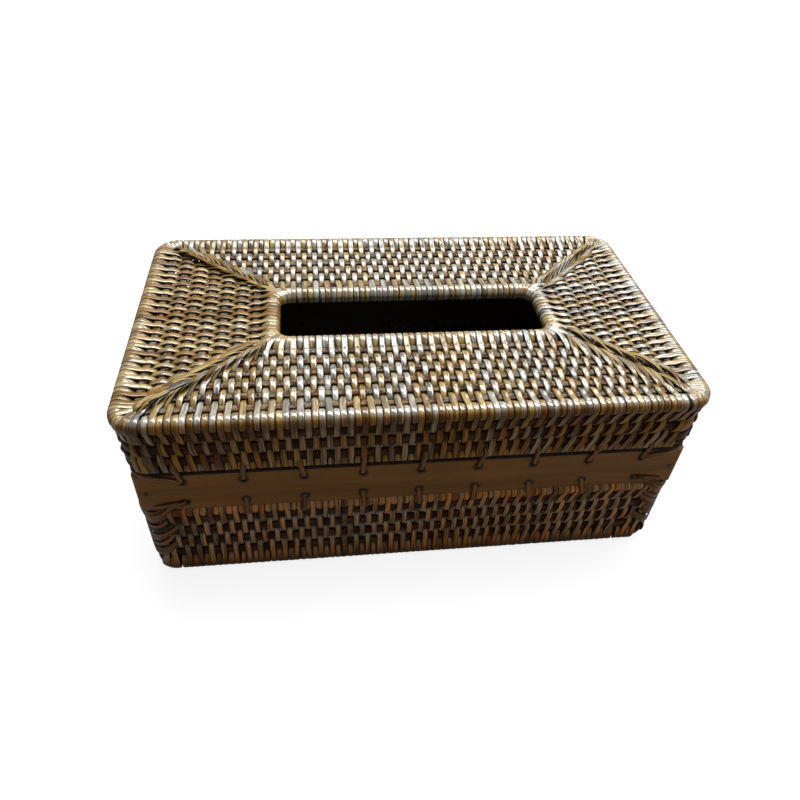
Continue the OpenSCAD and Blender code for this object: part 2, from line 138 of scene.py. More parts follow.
@dataclass(frozen=True)
class CoverSizes:
    """The cover's sizes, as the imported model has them.

    Attributes:
        length, width: over the upper weave.
        corner: the radius of the outline's upright corners.
        slot_l, slot_w, slot_x, slot_bend: the slot's length, width, place along X and corners.
        edge_rod: the rod round the top edge. The one round the slot lies likewise.
        border_rod: the thin rod along the lower border of the upper weave.
        low_border_rod: the rod along the upper border of the lower weave.
        base_rod: the rod that the cover stands on.
        top_z, top_pitch: the height of the rods in the top, and the distance aimed at.
        side_in, side_z: the inset and the heights of the rods in the upper side.
        low_in, low_z: the inset and the heights of the rods in the lower side.
        long_lanes, end_lanes: the number and the pitch of a side's strips.
        hole_pitch, hole_high, hole_low: the stitch holes' pitch and the heights of their rows.
    """

    length: float = 260.0
    width: float = 151.0
    corner: float = 13.5
    slot_l: float = 130.0
    slot_w: float = 34.0
    slot_x: float = 3.0
    slot_bend: float = 6.0
    edge_rod: RodPlace = RodPlace(3.6, 96.4, 3.4)
    border_rod: RodPlace = RodPlace(2.74, 72.6, 1.55)
    low_border_rod: RodPlace = RodPlace(4.54, 41.8, 1.85)
    base_rod: RodPlace = RodPlace(6.5, 3.2, 4.1)
    top_z: float = 97.6
    top_pitch: float = 7.6
    side_in: float = 2.44
    side_z: tuple[float, ...] = (91.0, 83.9, 76.8)
    low_in: float = 4.54
    low_z: tuple[float, ...] = (36.04, 27.83, 19.62, 11.41)
    long_lanes: tuple[int, float] = (79, 2.92)
    end_lanes: tuple[int, float] = (45, 2.75)
    hole_pitch: float = 26.4
    hole_high: float = 61.8
    hole_low: float = 48.8

    @property
    def arc(self) -> float:
        """The length of the outline over half an upright corner."""
        return self.corner * math.pi / 4

    def half_along(self, side: Side) -> float:
        """Half the side's length."""
        return (self.length if side.long else self.width) / 2

    def half_out(self, side: Side) -> float:
        """The distance from the cover's middle out to the side."""
        return (self.width if side.long else self.length) / 2

    def flat(self, side: Side) -> float:
        """Half the length of the side's straight part."""
        return self.half_along(side) - self.corner

    def rods(self, side: Side) -> list[float]:
        """Where the rods of a side's top panel lie: even, between the slot's rod and the edge's.

        Args:
            side: the side.

        Returns:
            Their distances out from the cover's middle.
        """
        low = self.slot_out(side) + self.edge_rod.inset
        room = self.half_out(side) - self.edge_rod.inset - low
        gaps = round(room / self.top_pitch)
        return [round(low + room * k / gaps, 2) for k in range(1, gaps)]

    def slot_out(self, side: Side) -> float:
        """The distance from the cover's middle to the slot's edge on a side."""
        shift = {Side.LEFT: -self.slot_x, Side.RIGHT: self.slot_x}.get(side, 0.0)
        return (self.slot_w if side.long else self.slot_l) / 2 + shift

    def slot_shift(self, side: Side) -> float:
        """How far the slot's middle lies along a side, towards the side's high end."""
        return {Side.FRONT: self.slot_x, Side.BACK: -self.slot_x}.get(side, 0.0)

    def slot_end(self, side: Side, way: int) -> float:
        """Where the slot ends along a side, at its low (-1) or high (1) end."""
        return way * (self.slot_l if side.long else self.slot_w) / 2 + self.slot_shift(side)

    def lanes(self, side: Side) -> Array:
        """Where the strips of a side cross its straight edge."""
        count, pitch = self.long_lanes if side.long else self.end_lanes
        return (np.arange(count) - (count - 1) / 2) * pitch

    def corner_lanes(self, side: Side, way: int, count: int) -> Array:
        """Where a number of strips cross the edge in one half of an upright corner."""
        return way * (self.flat(side) + (np.arange(count) + 0.5) / count * self.arc)

    def around(self, side: Side, q: Array, inset: Array) -> tuple[Array, Array, Array]:
        """Places on the cover's rounded outline, counted along a side.

        Args:
            side: the side.
            q: the distance along the outline from the side's middle.
            inset: how far inside the outline.

        Returns:
            The distance along the side, the distance outwards, and how far the outline has turned.
        """
        flat = self.flat(side)
        turn = np.clip((np.abs(q) - flat) / self.corner, 0.0, math.pi / 2) * np.sign(q)
        reach = self.corner - inset
        return (np.clip(q, -flat, flat) + reach * np.sin(turn),
                self.half_out(side) - self.corner + reach * np.cos(turn), turn)


# ---------------------------------------------------------------- node sheets


class NodeSheet:
    """A node tree with short ways of adding to it."""

    def __init__(self, tree: bpy.types.NodeTree) -> None:
        """Keeps the tree that the nodes go to."""
        self.tree = tree

    def fill(self, node: bpy.types.Node, sockets: dict[Any, Any]) -> None:
        """Fills a node's inputs.

        Args:
            node: the node.
            sockets: a value or an output to join, for each input by name or number.
        """
        for name, value in sockets.items():
            if isinstance(value, Socket):
                self.tree.links.new(value, node.inputs[name])
            else:
                node.inputs[name].default_value = value

    def add(self, kind: str, sockets: dict[Any, Any] | None = None, **settings: Any) -> bpy.types.Node:
        """Adds a node.

        Args:
            kind: the node's type name.
            sockets: a value or an output to join, for each input by name or number.
            settings: the node's own options.

        Returns:
            The new node.
        """
        node = self.tree.nodes.new(kind)
        for name, value in settings.items():
            setattr(node, name, value)
        self.fill(node, sockets or {})
        return node

    def shade(self, sockets: dict[str, Any]) -> None:
        """Fills the inputs of the tree's own shader."""
        self.fill(self.tree.nodes["Principled BSDF"], sockets)

    def math(self, operation: str, *values: Any) -> Socket:
        """Adds a Math node on the values and returns its output."""
        return self.add("ShaderNodeMath", dict(enumerate(values)), operation=operation).outputs[0]

    def times(self, one: Any, other: Any) -> Socket:
        """The product of two values."""
        return self.math("MULTIPLY", one, other)

    def ramp(self, value: Any, low: float, high: float, to_low: float = 0.0, to_high: float = 1.0) -> Socket:
        """Adds a smooth step from to_low at low to to_high at high and returns its output."""
        return self.add("ShaderNodeMapRange", {0: value, 1: low, 2: high, 3: to_low, 4: to_high},
                        interpolation_type="SMOOTHSTEP").outputs[0]

    def blend(self, share: Any, one: Any, other: Any, kind: str = "MIX") -> Socket:
        """Mixes two colours, where a share of 0 gives the first, and returns the output."""
        one, other = ((*part, 1) if isinstance(part, tuple) else part for part in (one, other))
        return self.add("ShaderNodeMix", {0: share, 6: one, 7: other}, data_type="RGBA", blend_type=kind).outputs[2]

    def noise(self, place: Any, scale: float, detail: float = 3.0, rough: float = 0.55) -> Socket:
        """Adds a noise on a place and returns its value output."""
        return self.add("ShaderNodeTexNoise", {"Vector": place, "Scale": scale, "Detail": detail,
                                               "Roughness": rough}).outputs[0]

    def bump(self, height: Socket, strength: float, distance: float) -> Socket:
        """Adds a Bump node and returns its normal."""
        return self.add("ShaderNodeBump", {"Height": height, "Strength": strength, "Distance": distance}).outputs[0]

    def attribute(self, name: str) -> Socket:
        """Reads a number that the piece's mesh carries."""
        return self.add("ShaderNodeAttribute", attribute_name=name).outputs["Fac"]

    def place(self) -> Socket:
        """The place on the piece, in metres."""
        return self.add("ShaderNodeTexCoord").outputs["Object"]

    def stretch(self, place: Socket, scale: Three, shift: Three = (0.0, 0.0, 0.0)) -> Socket:
        """A place with each way scaled and shifted."""
        return self.add("ShaderNodeMapping", {"Vector": place, "Scale": scale, "Location": shift}).outputs[0]

    def split(self, place: Socket) -> list[Socket]:
        """The three parts of a place."""
        return list(self.add("ShaderNodeSeparateXYZ", {0: place}).outputs)

    def beyond(self, place: Socket, along: Span, across: Span) -> Socket:
        """1 outside a box about the middle and 0 inside, with a smooth step on each way."""
        x, y = (self.math("ABSOLUTE", part) for part in self.split(place)[:2])
        return self.math("MAXIMUM", self.ramp(x, *along), self.ramp(y, *across))

    def seen(self, glossy: float) -> Socket:
        """Tells what the camera sees from what only lights.

        Args:
            glossy: the share that a glossy face shows.

        Returns:
            1 for what the camera sees, also through glass, that share for glossy rays, else 0.
        """
        path = self.add("ShaderNodeLightPath").outputs
        shown = self.math("MAXIMUM", self.times(path["Is Glossy Ray"], glossy), path["Is Transmission Ray"])
        return self.math("MAXIMUM", path["Is Camera Ray"], shown)


# ---------------------------------------------------------------- finishes


@dataclass(frozen=True)
class Finish:
    """What every finish has: a name, and a material that it paints."""

    name: str

    def make(self) -> Material:
        """Makes the material.

        Returns:
            The material, painted.
        """
        material = bpy.data.materials.new(self.name)
        material.use_nodes = True
        self.paint(NodeSheet(material.node_tree))
        return material

    def paint(self, sheet: NodeSheet) -> None:
        """Fills the material's sheet. Each finish does it in its own way."""
        raise NotImplementedError


@dataclass(frozen=True)
class CaneFinish(Finish):
    """Split cane under stain and varnish, streaked along its fibres, with painted shade under the rods, at the strips'
    edges and on the upright sides.

    Attributes:
        honey, grey: the colours that the strips lie between.
        stain_and_shade: the dark of the stain in the fibres, of the painted shade at the strips' edges, under the rods
            and on the upright sides, and of the strips near the table.
        dusk: the colour of the few dark strips.
        roughness: of the cane under the varnish.
        coat: the weight of the varnish on the top.
        painted_side_shade: how much painted shade the upright sides get, for the light from above that leaves them in
            shade.
        amber: the colour of the reddest strips, as shares of honey.
        side_shade_tint: what the upright sides' colour is multiplied by, a painted shade that makes them darker and
            warmer than the top.
        shine: the tint of what the bare cane reflects.
        ends, fronts: where the upright sides begin, out from the middle, in metres.
        under_edge, skirt, foot: the heights, in metres, at which the sides begin below the top edge, hold less painted
            shade below the
        first rods, and darken towards the table.
    """

    honey: Colour
    grey: Colour
    stain_and_shade: Colour
    dusk: Colour
    roughness: float
    coat: float
    painted_side_shade: float = 0.0
    amber: Colour = (0.66, 0.5, 0.3)
    side_shade_tint: Colour = (1.2, 0.82, 0.52)
    shine: Colour = (1.0, 0.7, 0.45)
    ends: Span = (0.1255, 0.1275)
    fronts: Span = (0.071, 0.073)
    under_edge: Span = (0.0999, 0.0984)
    skirt: Span = (0.0905, 0.0935)
    foot: Span = (0.009, 0.003)

    def paint(self, sheet: NodeSheet) -> None:
        """Paints the cane by the numbers that each strip carries and by its height on the cover.

        Args:
            sheet: the material's node sheet.
        """
        tint, across, along, relief = (sheet.attribute(name) for name in ("tint", "across", "along", "relief"))
        place = sheet.add("ShaderNodeCombineXYZ", {0: sheet.times(along, 90.0), 1: sheet.times(across, 1.6),
                                                   2: sheet.times(tint, 97.0)}).outputs[0]
        fibre = sheet.noise(sheet.stretch(place, (0.35, 1.1, 1.0)), 1.6, 3.0, 0.6)
        streak = sheet.noise(sheet.stretch(place, (0.55, 0.55, 1.0), (3.0, 5.0, 7.0)), 1.0, 1.0)
        patch = sheet.times(sheet.math("SUBTRACT", sheet.noise(place, 0.9, 2.0), 0.5), 0.9)
        colour = sheet.blend(sheet.ramp(sheet.math("ADD", tint, patch), 0.25, 0.85), self.honey, self.grey)
        amber = tuple(part * share for part, share in zip(self.honey, self.amber))
        colour = sheet.blend(sheet.ramp(tint, 0.2, -0.12), colour, amber)
        colour = sheet.blend(sheet.ramp(tint, 0.93, 0.97), colour, self.dusk)
        height = sheet.split(sheet.place())[2]
        side = sheet.times(sheet.beyond(sheet.place(), self.ends, self.fronts), sheet.ramp(height, *self.under_edge))
        # painted shade: the upright sides go darker, most between the top edge and the first rods
        side_shade_share = sheet.times(side, sheet.ramp(height, *self.skirt, 0.2, 1.0))
        in_fibres = sheet.ramp(fibre, 0.44, 0.64, 0.0, 0.52)
        in_streaks = sheet.ramp(streak, 0.44, 0.66, 0.0, 0.62)
        # painted shade: each strip goes dark at its edges, where it meets its neighbours, and where it dives under a
        # rod
        shaded_edges = sheet.ramp(sheet.math("ABSOLUTE", across), 0.64, 0.9, 0.0, 0.92)
        shade_under_rods = sheet.ramp(relief, 0.1, -0.8, 0.0, 0.85)
        for share in (in_fibres, in_streaks, shaded_edges, shade_under_rods, sheet.times(side_shade_share, self.painted_side_shade)):
            colour = sheet.blend(share, colour, self.stain_and_shade)
        # painted shade: the upright sides are multiplied darker and warmer than the top
        colour = sheet.blend(side, colour, self.side_shade_tint, "MULTIPLY")
        # darker towards the table
        colour = sheet.blend(sheet.ramp(height, *self.foot, 0.0, 0.7), colour, self.stain_and_shade)
        worn_off = sheet.times(sheet.ramp(side, 0.0, 1.0, 1.0, 0.03), sheet.ramp(relief, -0.1, 0.5, 0.15, 1.0))
        varnish = sheet.times(worn_off, sheet.ramp(tint, -0.35, 0.25, 0.35, 1.0))
        sheet.shade({
            "Base Color": colour,
            "Roughness": sheet.ramp(fibre, 0.3, 0.7, self.roughness - 0.06, self.roughness + 0.2),
            "Coat Weight": sheet.times(varnish, sheet.ramp(fibre, 0.35, 0.65, self.coat, self.coat * 0.6)),
            "Coat Roughness": 0.14,
            "Coat IOR": 2.15,
            "Specular IOR Level": 0.13,
            "Specular Tint": (*self.shine, 1),
            "Normal": sheet.bump(fibre, 0.5, 0.00022),
        })


@dataclass(frozen=True)
class RodFinish(Finish):
    """Rods under dark stain: knots of paler wear, paler patches in the top that are part wear and part painted sheen,
    painted shade on a flat rod's edges, a dull gloss.

    Attributes:
        dark, worn: the stain, and where it is worn.
        roughness: the dull gloss.
        top_wear_and_sheen: the two colours of the paler patches in the top, part wear and part a painted sheen for the
            light from above.
        top: the heights, in metres, between which those patches begin.
        grime: the colour of the fine specks.
        rim: the colour of a flat rod's edges, a painted shade for the dark of its sides.
        shine: the tint of what a rod reflects.
    """

    dark: Colour
    worn: Colour
    roughness: float
    top_wear_and_sheen: tuple[Colour, Colour] = ((0.24, 0.15, 0.07), (0.17, 0.17, 0.13))
    top: Span = (0.0955, 0.097)
    grime: Colour = (0.013, 0.0045, 0.0018)
    rim: Colour = (0.006, 0.0022, 0.001)
    shine: Colour = (1.0, 0.55, 0.3)

    def paint(self, sheet: NodeSheet) -> None:
        """Paints the rod by its place.

        Args:
            sheet: the material's node sheet.
        """
        place = sheet.place()
        grit = sheet.noise(place, 900.0, 3.0, 0.6)
        colour = sheet.blend(sheet.ramp(sheet.noise(place, 150.0), 0.42, 0.66), self.dark, self.worn)
        # paler patches on the rods in the top: part wear, part a painted sheen for the light from above
        top_wear_and_sheen = sheet.blend(sheet.ramp(sheet.noise(place, 120.0, 2.0), 0.42, 0.58), *self.top_wear_and_sheen)
        patches = sheet.ramp(sheet.noise(place, 330.0, 3.0, 0.6), 0.4, 0.56)
        colour = sheet.blend(sheet.times(patches, sheet.ramp(sheet.split(place)[2], *self.top)), colour, top_wear_and_sheen)
        colour = sheet.blend(sheet.ramp(grit, 0.45, 0.7, 0.0, 0.7), colour, self.grime)
        # painted shade: a flat rod goes near black at its edges
        shaded_edges = sheet.ramp(sheet.math("ABSOLUTE", sheet.attribute("across")), 0.5, 0.95, 0.0, 0.9)
        sheet.shade({
            "Base Color": sheet.blend(shaded_edges, colour, self.rim),
            "Roughness": sheet.ramp(grit, 0.3, 0.8, self.roughness - 0.08, self.roughness + 0.18),
            "Specular IOR Level": 0.12,
            "Specular Tint": (*self.shine, 1),
            "Normal": sheet.bump(grit, 0.3, 0.00012),
        })


@dataclass(frozen=True)
class WoodFinish(Finish):
    """Stained board: long grain, pores, small dents, dark smudges round the stitch holes, and painted shade on its
    inside.

    Attributes:
        sizes: the cover's sizes.
        along_x: whether the grain runs along the cover.
        inside_shade_reach: how far from the cover's middle the painted shade on the inside of the board ends.
        light, deep: the wood's colours.
        smudge: the dark of the pores and round the holes.
        inside: how much lighter than a smudge the painted shade on the inside is.
    """

    sizes: CoverSizes
    along_x: bool
    inside_shade_reach: float
    light: Colour = (0.275, 0.12, 0.025)
    deep: Colour = (0.19, 0.08, 0.017)
    smudge: Colour = (0.022, 0.012, 0.007)
    inside: float = 1.5

    def lengthways(self, along: float, across: float) -> Three:
        """A scale for a pattern that is drawn out along the grain."""
        return (along, across, across) if self.along_x else (across, along, across)

    def paint(self, sheet: NodeSheet) -> None:
        """Paints the board with its grain along it.

        Args:
            sheet: the material's node sheet.
        """
        place = sheet.place()
        grain = sheet.noise(sheet.stretch(place, self.lengthways(7.0, 150.0)), 1.0, 6.0, 0.6)
        pores = sheet.noise(sheet.stretch(place, self.lengthways(35.0, 1900.0)), 1.0, 3.0, 0.7)
        colour = sheet.blend(sheet.ramp(grain, 0.35, 0.7), self.light, self.deep)
        colour = sheet.blend(sheet.ramp(sheet.noise(place, 26.0), 0.4, 0.75, 0.0, 0.4), colour, self.deep)
        colour = sheet.blend(sheet.ramp(pores, 0.58, 0.74, 0.0, 0.6), colour, self.smudge)
        colour = sheet.blend(self.near_holes(sheet, place), colour, self.smudge)
        # painted shade: the inside of the board goes near black
        out = sheet.math("ABSOLUTE", sheet.split(place)[1 if self.along_x else 0])
        shaded_inside = sheet.ramp(out, (self.inside_shade_reach + 0.5) * MM, self.inside_shade_reach * MM)
        sheet.shade({
            "Base Color": sheet.blend(shaded_inside, colour, tuple(self.inside * part for part in self.smudge)),
            "Roughness": sheet.ramp(grain, 0.3, 0.75, 0.45, 0.6),
            "Specular IOR Level": 0.15,
            "Normal": sheet.bump(sheet.math("ADD", grain, sheet.times(pores, -0.6)), 0.35, 0.00015),
        })

    def near_holes(self, sheet: NodeSheet, place: Socket) -> Socket:
        """How much a place is smudged by the nearest stitch hole.

        Args:
            sheet: the material's node sheet.
            place: the place on the board.

        Returns:
            The share of smudge, from 0 to 1.
        """
        parts, pitch = sheet.split(place), self.sizes.hole_pitch * MM
        run = sheet.math("DIVIDE", parts[0 if self.along_x else 1], pitch)
        off = sheet.times(sheet.math("SUBTRACT", run, sheet.math("ROUND", run)), pitch)
        rows = [sheet.math("SUBTRACT", parts[2], row * MM) for row in (self.sizes.hole_high, self.sizes.hole_low)]
        nearest = sheet.math("MINIMUM", *[sheet.math("POWER", gap, 2.0) for gap in rows])
        reach = sheet.math("SQRT", sheet.math("ADD", sheet.math("POWER", off, 2.0), nearest))
        ragged = sheet.times(sheet.math("SUBTRACT", sheet.noise(place, 420.0, 2.0), 0.5), 0.0025)
        return sheet.ramp(sheet.math("ADD", reach, ragged), 0.0015, 0.0032, 0.92, 0.0)


@dataclass(frozen=True)
class BradFinish(Finish):
    """Dark dull metal with specks of rust."""

    metal: Colour = (0.06, 0.05, 0.045)
    rust: Colour = (0.04, 0.022, 0.014)

    def paint(self, sheet: NodeSheet) -> None:
        """Paints the specks.

        Args:
            sheet: the material's node sheet.
        """
        specks = sheet.noise(sheet.place(), 1500.0)
        sheet.shade({
            "Base Color": sheet.blend(sheet.ramp(specks, 0.4, 0.7), self.metal, self.rust),
            "Roughness": sheet.ramp(specks, 0.3, 0.7, 0.4, 0.7),
            "Metallic": sheet.ramp(specks, 0.45, 0.65, 0.9, 0.3),
        })


# ---------------------------------------------------------------- strips


@dataclass
class Strip:
    """The middle line of one strip of cane, with how its broad face lies.

    Attributes:
        points: the places on the line.
        broad: the way across its broad face at each place.
        breadth: the strip's size at each place, as a share of the full size.
        relief: 1 where it lies on a rod, -1 where it dives under one.
        tint: the strip's own colour number, mostly from 0 to 1.
        closed: whether its ends meet.
    """

    points: Array
    broad: Array
    breadth: Array
    relief: Array
    tint: float
    closed: bool = False


def smooth(value: Array | float, low: float, high: float) -> Array:
    """A smooth step from 0 at low to 1 at high."""
    share = np.clip((np.asarray(value, float) - low) / (high - low), 0.0, 1.0)
    return share * share * (3 - 2 * share)


def unit(ways: Array) -> Array:
    """Each row scaled to a length of 1."""
    return ways / np.linalg.norm(ways, axis=1, keepdims=True)


def run_along(points: Array) -> Array:
    """How far along its line each point lies."""
    return np.concatenate([[0.0], np.cumsum(np.linalg.norm(np.diff(points, axis=0), axis=1))])


def resampled(places: Array, run: Array, table: Array) -> Array:
    """The rows of a table, which lie at run along a line, read at other places."""
    return np.stack([np.interp(places, run, column) for column in table.T], axis=1)


def overs(first: int, count: int) -> list[float]:
    """1 for each rod that a strip goes over and -1 for each that it goes under, over at even numbers."""
    return [1.0 if (first + k) % 2 == 0 else -1.0 for k in range(count)]


def eased(at: Array, stops: Array) -> Array:
    """Reads values between stops, with an eased step from each stop to the next.

    Args:
        at: where to read.
        stops: rows of a rising place and the values there.

    Returns:
        A row for each of the values.
    """
    knots, values = stops[:, 0], stops[:, 1:]
    spot = np.clip(np.searchsorted(knots, at) - 1, 0, len(knots) - 2)
    share = np.clip((at - knots[spot]) / (knots[spot + 1] - knots[spot]), 0, 1)
    return (values[spot] + (values[spot + 1] - values[spot]) * smooth(share, *EASE)[:, None]).T


@dataclass
class Trail:
    """Collects a strip's places, in a side's own frame.

    Attributes:
        side: the side.
        rows: arrays of six rows, which are what lay() is given.
    """

    side: Side
    rows: list[Array] = field(default_factory=list)

    def lay(self, p: Any, u: Any, z: Any, turn: Any, relief: Any, breadth: Any = 1.0) -> None:
        """Adds places to the trail.

        Args:
            p: along the side.
            u: outwards.
            z: the height.
            turn: the plan direction of travel, as an angle from straight outwards.
            relief: 1 on a rod and -1 under one.
            breadth: the share of the full size.
        """
        parts = np.broadcast_arrays(*[np.atleast_1d(part) for part in (p, u, z, turn, relief, breadth)])
        self.rows.append(np.stack(parts).astype(float))

    def strip(self, tint: float, step: float, sway: Three, roll: float) -> Strip:
        """Makes the strip.

        Args:
            tint: its colour number.
            step: the distance between the places of the finished line.
            sway: the size, the wave length and the start of its sideways wave.
            roll: how far its face leans over, in radians.

        Returns:
            The strip.
        """
        p, u, z, turn, relief, breadth = np.concatenate(self.rows, axis=1)
        points = self.side.world(p, u, z)
        level = self.side.world(-np.cos(turn), np.sin(turn), np.zeros_like(z))
        run = run_along(points)
        keep = np.concatenate([[True], np.diff(run) > 1e-4])
        run = run[keep]
        places = np.linspace(0.0, run[-1], max(4, int(round(run[-1] / step)) + 1))
        table = resampled(places, run, np.column_stack([points, level, relief, breadth])[keep])
        points, level, relief, breadth = table[:, :3], unit(table[:, 3:6]), table[:, 6], table[:, 7]
        size, wave, start = sway
        points = points + level * (size * np.sin(places * 2 * math.pi / wave + start))[:, None]
        ahead = unit(np.gradient(points, axis=0))
        facing = unit(np.cross(level, ahead))
        facing = facing * math.cos(roll) + np.cross(ahead, facing) * math.sin(roll)
        return Strip(points, np.cross(facing, ahead), breadth, relief, tint)


def drawn(points: Array, outward: Array, step: float, tint: float, parts: int = 16) -> Strip:
    """Makes a strip on a smooth curve through a few places.

    Args:
        points: the places, in the cover's frame.
        outward: the way that the strip's face looks at each of them.
        step: the distance between the places of the finished line.
        tint: the strip's colour number.
        parts: how many parts the curve between two places has before it gets its steps.

    Returns:
        The strip.
    """
    knots = np.concatenate([[points[0] * 2 - points[1]], points, [points[-1] * 2 - points[-2]]])
    t = np.linspace(0, 1, parts, endpoint=False)[:, None]
    line, face = [], []
    for k in range(len(points) - 1):
        a, b, c, d = knots[k:k + 4]
        line.append(0.5 * (2 * b + (c - a) * t + (2 * a - 5 * b + 4 * c - d) * t ** 2
                           + (3 * b - a - 3 * c + d) * t ** 3))
        face.append(outward[k] * (1 - t) + outward[k + 1] * t)
    line, face = np.concatenate([*line, points[-1:]]), np.concatenate([*face, outward[-1:]])
    run = run_along(line)
    places = np.linspace(0.0, run[-1], max(5, int(run[-1] / step)))
    line, face = resampled(places, run, line), resampled(places, run, face)
    ahead = unit(np.gradient(line, axis=0))
    face = unit(face - ahead * np.sum(face * ahead, axis=1, keepdims=True))
    return Strip(line, np.cross(face, ahead), np.ones(len(places)), np.full(len(places), 0.5), tint)


class StripSweep:
    """The Geometry Nodes tree that gives strips their domed section.

    Attributes:
        powers: how square the section is across its breadth and its thickness.
        below, dome: the section's depth under its middle line, as a share of the thickness,
            and how much more it has above.
    """

    powers = (0.72, 0.6)
    below = 0.37
    dome = 0.26

    def __init__(self) -> None:
        """Builds the tree once for every piece."""
        self.tree = bpy.data.node_groups.new("strip_sweep", "GeometryNodeTree")
        faces = self.tree.interface
        faces.new_socket("Geometry", in_out="INPUT", socket_type="NodeSocketGeometry")
        self.sockets = {title: faces.new_socket(title, in_out="INPUT", socket_type="NodeSocket" + kind).identifier
                        for title, kind in (("Strip Width", "Float"), ("Strip Thickness", "Float"),
                                            ("Section Corners", "Int"), ("Finish", "Material"))}
        faces.new_socket("Geometry", in_out="OUTPUT", socket_type="NodeSocketGeometry")
        sheet = NodeSheet(self.tree)
        given = sheet.add("NodeGroupInput").outputs
        self.join(sheet, given, self.section(sheet, given))

    def section(self, sheet: NodeSheet, given: Any) -> Socket:
        """Adds the nodes of the section: a rounded oval, higher above its middle line than below.

        Args:
            sheet: the tree's node sheet.
            given: the group's inputs.

        Returns:
            The section's curve.
        """
        circle = sheet.add("GeometryNodeCurvePrimitiveCircle", {"Resolution": given["Section Corners"], "Radius": 1.0})
        parts = sheet.split(sheet.add("GeometryNodeInputPosition").outputs[0])
        x, y = (sheet.times(sheet.math("SIGN", part), sheet.math("POWER", sheet.math("ABSOLUTE", part), power))
                for part, power in zip(parts, self.powers))
        named = sheet.add("GeometryNodeStoreNamedAttribute", {"Geometry": circle.outputs[0], "Name": "across",
                                                              "Value": x}, data_type="FLOAT", domain="POINT")
        above = sheet.times(sheet.math("GREATER_THAN", y, 0.0), self.dome)
        deep = sheet.times(given["Strip Thickness"], sheet.math("ADD", above, self.below))
        place = sheet.add("ShaderNodeCombineXYZ", {0: sheet.times(x, sheet.times(given["Strip Width"], 0.5)),
                                                   1: sheet.times(y, deep)})
        return sheet.add("GeometryNodeSetPosition", {"Geometry": named.outputs[0],
                                                     "Position": place.outputs[0]}).outputs[0]

    def join(self, sheet: NodeSheet, given: Any, section: Socket) -> None:
        """Adds the nodes of the curve with its faces turned, the sweep and the finish.

        Args:
            sheet: the tree's node sheet.
            given: the group's inputs.
            section: the section's curve.
        """
        curve = sheet.add("GeometryNodeMeshToCurve", {0: given["Geometry"]})
        broad = sheet.add("GeometryNodeInputNamedAttribute", {"Name": "broad"}, data_type="FLOAT_VECTOR")
        turned = sheet.add("GeometryNodeSetCurveNormal", {"Curve": curve.outputs[0], "Normal": broad.outputs[0]},
                           mode="FREE")
        breadth = sheet.add("GeometryNodeInputNamedAttribute", {"Name": "breadth"}, data_type="FLOAT")
        swept = sheet.add("GeometryNodeCurveToMesh", {"Curve": turned.outputs[0], "Profile Curve": section,
                                                      "Scale": breadth.outputs[0], "Fill Caps": True})
        soft = sheet.add("GeometryNodeSetShadeSmooth", {0: swept.outputs[0], "Shade Smooth": True})
        real = sheet.add("GeometryNodeRealizeInstances", {0: soft.outputs[0]})
        done = sheet.add("GeometryNodeSetMaterial", {"Geometry": real.outputs[0], "Material": given["Finish"]})
        sheet.add("NodeGroupOutput", {0: done.outputs[0]})

    def lines(self, name: str, strips: list[Strip]) -> bpy.types.Mesh:
        """Makes a mesh of bare lines that carries each strip's numbers.

        Args:
            name: the mesh's name.
            strips: the strips.

        Returns:
            The mesh.
        """
        counts = [len(strip.points) for strip in strips]
        edges = []
        for start, count, strip in zip(np.cumsum([0, *counts[:-1]]), counts, strips):
            ends = np.arange(start, start + count)
            edges.append(np.stack([ends[:-1], ends[1:]], axis=1))
            if strip.closed:
                edges.append(np.array([[ends[-1], ends[0]]]))
        mesh = bpy.data.meshes.new(name)
        points = np.concatenate([strip.points for strip in strips]) * MM
        mesh.from_pydata(points.tolist(), np.concatenate(edges).tolist(), [])
        carried = {
            "broad": [strip.broad for strip in strips],
            "breadth": [strip.breadth for strip in strips],
            "relief": [strip.relief for strip in strips],
            "tint": [np.full(count, strip.tint) for strip, count in zip(strips, counts)],
            "along": [run_along(strip.points) * MM for strip in strips],
        }
        for title, values in carried.items():
            kind, part = ("FLOAT_VECTOR", "vector") if title == "broad" else ("FLOAT", "value")
            numbers = np.concatenate(values).astype(np.float32).ravel()
            mesh.attributes.new(title, kind, "POINT").data.foreach_set(part, numbers)
        return mesh

    def sweep(self, name: str, strips: list[Strip], finish: Material, width: float, thickness: float,
              corners: int = 10) -> bpy.types.Object:
        """Makes one plain mesh from strips.

        Args:
            name: the piece's name.
            strips: the strips.
            finish: their material.
            width: a full strip's width.
            thickness: its thickness.
            corners: the number of corners of its section.

        Returns:
            The finished piece, at the origin, with nothing live on it.
        """
        mesh = self.lines(name + "_lines", strips)
        lines = bpy.data.objects.new(name + "_lines", mesh)
        bpy.context.scene.collection.objects.link(lines)
        live = lines.modifiers.new("sweep", "NODES")
        live.node_group = self.tree
        for identifier, value in zip(self.sockets.values(), (width * MM, thickness * MM, corners, finish)):
            live[identifier] = value
        depsgraph = bpy.context.evaluated_depsgraph_get()
        plain = bpy.data.meshes.new_from_object(lines.evaluated_get(depsgraph), preserve_all_data_layers=True,
                                                depsgraph=depsgraph)
        plain.name = name
        for spare in ("broad", "breadth"):
            if spare in plain.attributes:
                plain.attributes.remove(plain.attributes[spare])
        lines.modifiers.remove(live)
        bpy.data.objects.remove(lines)
        bpy.data.meshes.remove(mesh)
        piece = bpy.data.objects.new(name, plain)
        bpy.context.scene.collection.objects.link(piece)
        LOG.info("%s: %d strips, %d faces", name, len(strips), len(plain.polygons))
        return piece


def settle(piece: bpy.types.Object, slot: str, *nodes: str) -> None:
    """Lets a piece ride on the body and stand for its nodes.

    Args:
        piece: the finished piece.
        slot: not used.
        nodes: the nodes that it replaces.
    """
    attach(piece, "root")
    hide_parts(*nodes)


